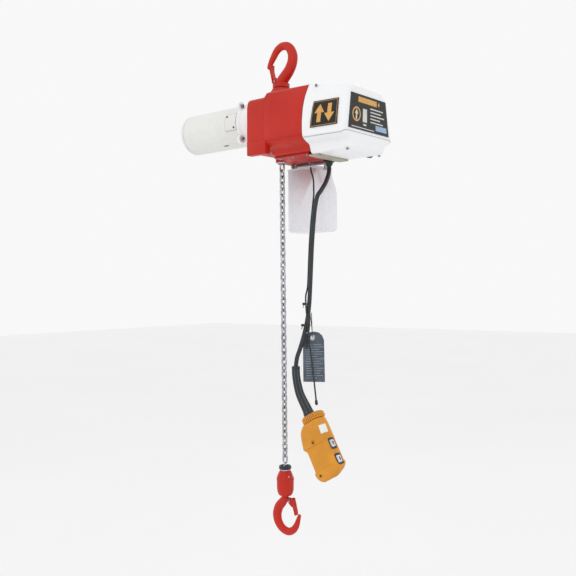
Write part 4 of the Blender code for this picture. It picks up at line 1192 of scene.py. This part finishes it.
def pendant_shells():
    for name, side, node in (("pendant_shell_front", -1, "pendant_front"),
            ("pendant_shell_back", 1, "pendant_back")):
        bm = bmesh.new()
        skin(bm, [pendant_ring(*row) for row in SHAPE])
        bmesh.ops.bisect_plane(
            bm, geom=bm.verts[:] + bm.edges[:] + bm.faces[:], plane_co=(0, HANG_Y + side * 0.28, 0),
            plane_no=(0, side, 0), clear_inner=True,
        )
        rim = [e for e in bm.edges if e.is_boundary]
        bmesh.ops.contextual_create(bm, geom=rim)
        obj = made(name, bm, "orange_plastic", "pendant", replaces=(node,), sharp=38)
        for _, z, _ in BUTTONS:
            pocket = bmesh.new()
            slab(pocket, [(15, 8.7, 10.9, 3.4), (40, 8.7, 10.9, 3.4)], z)
            cut(obj, pocket)
        edge = obj.modifiers.new("Edges", "BEVEL")
        edge.width, edge.segments, edge.angle_limit = 0.35 * MM, 2, math.radians(50)
    bm = bmesh.new()
    skin(bm, [pendant_ring(z, left + 1.2, right - 1.2, 0.9, 0, 0.8) for z, left, right, *_ in SHAPE[2:-5]])
    made("pendant_gasket", bm, "black_rubber", "pendant")

    bm = bmesh.new()  # the crown, with a ribbed skirt
    rings = []
    rows = [
        (-0.9, -8.6, 21.4, 11, 0.0), (-1.0, -11.4, 24.2, 13.4, 0.0), (-2.4, -13.6, 26.0, 15.2, 0.5),
        (-4.0, -14.6, 27.0, 16.0, 1.0), (-7.0, -15.0, 27.3, 16.3, 1.0), (-7.4, -15.0, 27.3, 16.3, 0.1),
        (-8.4, -15.1, 27.4, 16.4, 0.1), (-8.8, -15.1, 27.4, 16.4, 1.0), (-11.8, -15.3, 27.5, 16.5, 1.0),
        (-13.0, -15.0, 27.2, 16.2, 0.4), (-13.6, -14.0, 26.2, 15.2, 0.0),
    ]
    for z, left, right, depth, ribs in rows:
        base = evenly(outline_of(left, right, depth, 10, 12), 208)
        cx = (left + right) / 2
        ring = []
        for i, (x, y) in enumerate(base):
            inward = -1.7 * ribs * (0.5 + 0.5 * math.cos(math.tau * i / 8))
            d = Vector((x - cx, y)).normalized()
            ring.append(in_pendant(x + d.x * inward, y + d.y * inward, z))
        rings.append(ring)
    skin(bm, rings)
    crown = made("pendant_crown", bm, "orange_plastic", "pendant", replaces=("pendant_collar",), sharp=50)
    # The two faces beside each rib groove get the darker orange: painted shade in the grooves.
    stripe(crown, CROWN_GROOVE_SHADE, 208, 8, (0, 7), range(2, 10))


def pendant_boot():
    path = [(46.4, HANG_Y, -626), (46.8, HANG_Y, -643), (50.6, HANG_Y, -663), (57.2, HANG_Y, -682)]
    points = smooth([*path, in_pendant(0, 0, 14), in_pendant(0, 0, -0.6)], 3)
    total = len(points) - 1
    radii = []
    for i in range(total + 1):
        t = i / total
        r = 8.0 + 2.3 * t * t
        if i == 0:
            r -= 0.9
        elif i == 1:
            r += 0.35
        elif t > 0.93:
            r += 0.5
        radii.append(r)
    bm = bmesh.new()
    rings = []
    points = [Vector(p) for p in points]
    for point, (side, normal), radius in zip(points, frames_along(points), radii):
        ring = []
        for k in range(48):
            a = math.tau * k / 48
            flute = 1 - 0.10 * (0.5 + 0.5 * math.cos(8 * a)) ** 2 if 1 < len(rings) < total - 2 else 1.0
            ring.append(point + side * radius * flute * math.cos(a) + normal * radius * flute * math.sin(a))
        rings.append(ring)
    skin(bm, rings)
    sleeve = made("cord_sleeve", bm, SLEEVE, "pendant", replaces=("cord_boot",), sharp=50)
    # One face at each ridge crest gets the lighter rubber: a painted highlight along the ridges.
    stripe(sleeve, SLEEVE_RIDGE_HIGHLIGHT, 48, 6, (3,), range(2, total - 1))




def buttons():
    for label, z, body in BUTTONS:
        bm = bmesh.new()
        slab(bm, [
            (14, 6.0, 7.2, 2.6), (23.0, 6.0, 7.2, 2.6), (24.2, 5.8, 7.0, 2.4), (25.1, 5.2, 6.4, 2.0),
            (25.5, 4.4, 5.6, 1.6),
        ], z)
        made(f"{label}_cap", bm, "button_grey", body, replaces=(f"{label}_button",), sharp=40)
        way = 1 if label == "raise" else -1
        shapes = [[(u, way * v) for u, v in shape] for shape in arrow(0, -3.6, 4.0, 3.0, 1.1, 3.6)]

        def place(u, v, lift, z=z):
            return in_pendant(25.55 + lift, u, z + v)

        decal(f"{label}_arrow", shapes, place, "label_black", body, 0.12, 8.0)
        bm = bmesh.new()
        slab(bm, [
            (16, 8.8, 11, 3.4), (23.2, 8.8, 11, 3.4), (23.9, 8.3, 10.5, 3.0), (24.0, 7.2, 8.4, 2.8),
            (23.7, 6.7, 7.9, 2.6), (17, 6.6, 7.8, 2.6),
        ], z)
        made(f"{label}_bezel", bm, "black_rubber", "pendant", sharp=50)


def pendant_details():
    zs = [-28.8 - 1.82 * i for i in range(10)]
    grid = []
    for z in zs:
        for first, second in zip(SHAPE, SHAPE[1:]):
            if second[0] <= z <= first[0]:
                t = (z - first[0]) / (second[0] - first[0])
                _, right, depth, _, corner = [a + (b - a) * t for a, b in zip(first[1:], second[1:])]
        curve = arc(right - corner, -depth + corner, corner + 0.25, corner + 0.25, -52, 0, 10)
        curve += [(right + 0.25, -depth + corner + 1 + k) for k in range(7)]
        grid.append([in_pendant(x, y, z) for x, y in curve])
    bm = bmesh.new()
    verts = [[bm.verts.new(p) for p in row] for row in grid]
    for a, b in zip(verts, verts[1:]):
        for i in range(len(a) - 1):
            bm.faces.new((a[i], a[i + 1], b[i + 1], b[i]))
    label = made("pendant_label", bm, WHITE_LABEL, "pendant", sharp=60)
    thick = label.modifiers.new("Thickness", "SOLIDIFY")
    thick.thickness = 0.25 * MM
    spots = [(in_pendant(-3.5, -19.3, -52.6), way_out(0, -1, 0)),
        (in_pendant(-18, -19.3, -113), way_out(0, -1, 0))]
    screw_heads("pendant_screws", spots, 2.0, "black_plastic", "pendant", 0.9)
    bm = bmesh.new()
    for x, y, z, r in ((-3.5, -19.2, -52.6, 4.6), (-18, -19.1, -113, 4.0)):
        lathe(bm, [(r - 1.6, -1.0), (r - 1.4, 0.9), (r - 0.8, 1.2), (r - 0.2, 0.9), (r, -1.0)],
            in_pendant(x, y, z), way_out(0, -1, 0), 32)
    made("pendant_bosses", bm, "orange_plastic", "pendant")


pendant_shells()
pendant_boot()
buttons()
pendant_details()

# ---------------------------------------------------------------- tag

TAG_CORNER = Vector((59.9, -14.2, -656))
TAG_TURN = math.radians(39.5)
TAG_RIGHT = Vector((math.cos(TAG_TURN), math.sin(TAG_TURN), 0))
TAG_FRONT = TAG_RIGHT.cross(Vector((0, 0, 1)))


def tag_place(u, v, out):
    return TAG_CORNER + TAG_RIGHT * u + Vector((0, 0, v)) + TAG_FRONT * (0.62 + out)


def tag_details():
    bars = []
    widths = (27, 31, 24, 33, 29, 20, 32, 26, 30, 22, 31, 28, 24, 30, 18)
    for i, width in enumerate(widths):
        v = 71 - 4.6 * i
        bars.append(box_shape(5, v, 5 + width * 0.45, v + 1.3))
        bars.append(box_shape(7 + width * 0.45, v, 8.5 + width, v + 1.3))
    decal("tag_lines", bars, tag_place, TAG_INK, "pendant", 0.12, 8.0)
    bm = bmesh.new()
    eye = TAG_CORNER + TAG_RIGHT * 18 + Vector((0, 0, 85.5))
    lathe(bm, [(2.9, -1.0), (5.2, -1.0), (5.6, -0.7), (5.6, 0.7), (5.2, 1.0), (3.3, 1.1), (2.9, 0.7),
        (2.9, -1.0)], eye, TAG_FRONT, 40)
    made("tag_eyelet", bm, "nickel", "pendant")


tag_details()

# ---------------------------------------------------------------- carried-over CAD pieces


def finish_cad_nodes():
    slots = {row["node"]: row["material_slot"] for row in frame["record"]["subparts"]}
    fine = {"tag_string": 0.0, "wire_anchor": 0.15}
    for name, node in NODES.items():
        if node.hide_render:
            continue
        node.data.materials.clear()
        node.data.materials.append(LOOKS[slots[name]])
        width = fine.get(name, 0.35)
        if width:
            edge = node.modifiers.new("Edges", "BEVEL")
            edge.width, edge.segments = width * MM, 2
            edge.limit_method, edge.angle_limit = "ANGLE", math.radians(35)


finish_cad_nodes()

# ---------------------------------------------------------------- studio


def studio():
    world = bpy.data.worlds.new("studio")
    bpy.context.scene.world = world
    world.use_nodes = True
    background = world.node_tree.nodes["Background"]
    background.inputs["Color"].default_value = (1.0, 1.0, 1.0, 1.0)
    background.inputs["Strength"].default_value = 0.94
    bm = bmesh.new()
    bmesh.ops.create_grid(bm, x_segments=24, y_segments=24, size=14.0)
    bmesh.ops.translate(bm, vec=(0, 0, -1.42), verts=bm.verts)
    mesh = bpy.data.meshes.new("studio_floor")
    bm.to_mesh(mesh)
    bm.free()
    floor = bpy.data.objects.new("studio_floor", mesh)
    bpy.context.scene.collection.objects.link(floor)
    floor.data.materials.append(finish("floor_white", (0.93, 0.93, 0.93), 0.7, vary=0.01, cloud=1.0,
        bump=0.02))
    lamps = (
        ((0.3, -2.6, 1.1), 1.2, 7.0, (0, 0, -0.25)), ((2.4, -0.4, 0.6), 0.8, 1.5, (0.1, 0, -0.2)),
        ((-2.0, -1.6, 0.4), 1.0, 1.0, (-0.1, 0, -0.2)), ((-0.2, 2.2, 1.2), 1.2, 3.0, (0, 0, -0.3)),
    )
    for i, (place, size, power, target) in enumerate(lamps):
        data = bpy.data.lights.new(f"lamp_{i}", "AREA")
        data.size, data.energy = size, power
        lamp = bpy.data.objects.new(f"lamp_{i}", data)
        lamp.location = place
        lamp.rotation_euler = (Vector(target) - Vector(place)).to_track_quat("-Z", "Y").to_euler()
        bpy.context.scene.collection.objects.link(lamp)
    bpy.context.scene.view_settings.view_transform = "Standard"


studio()
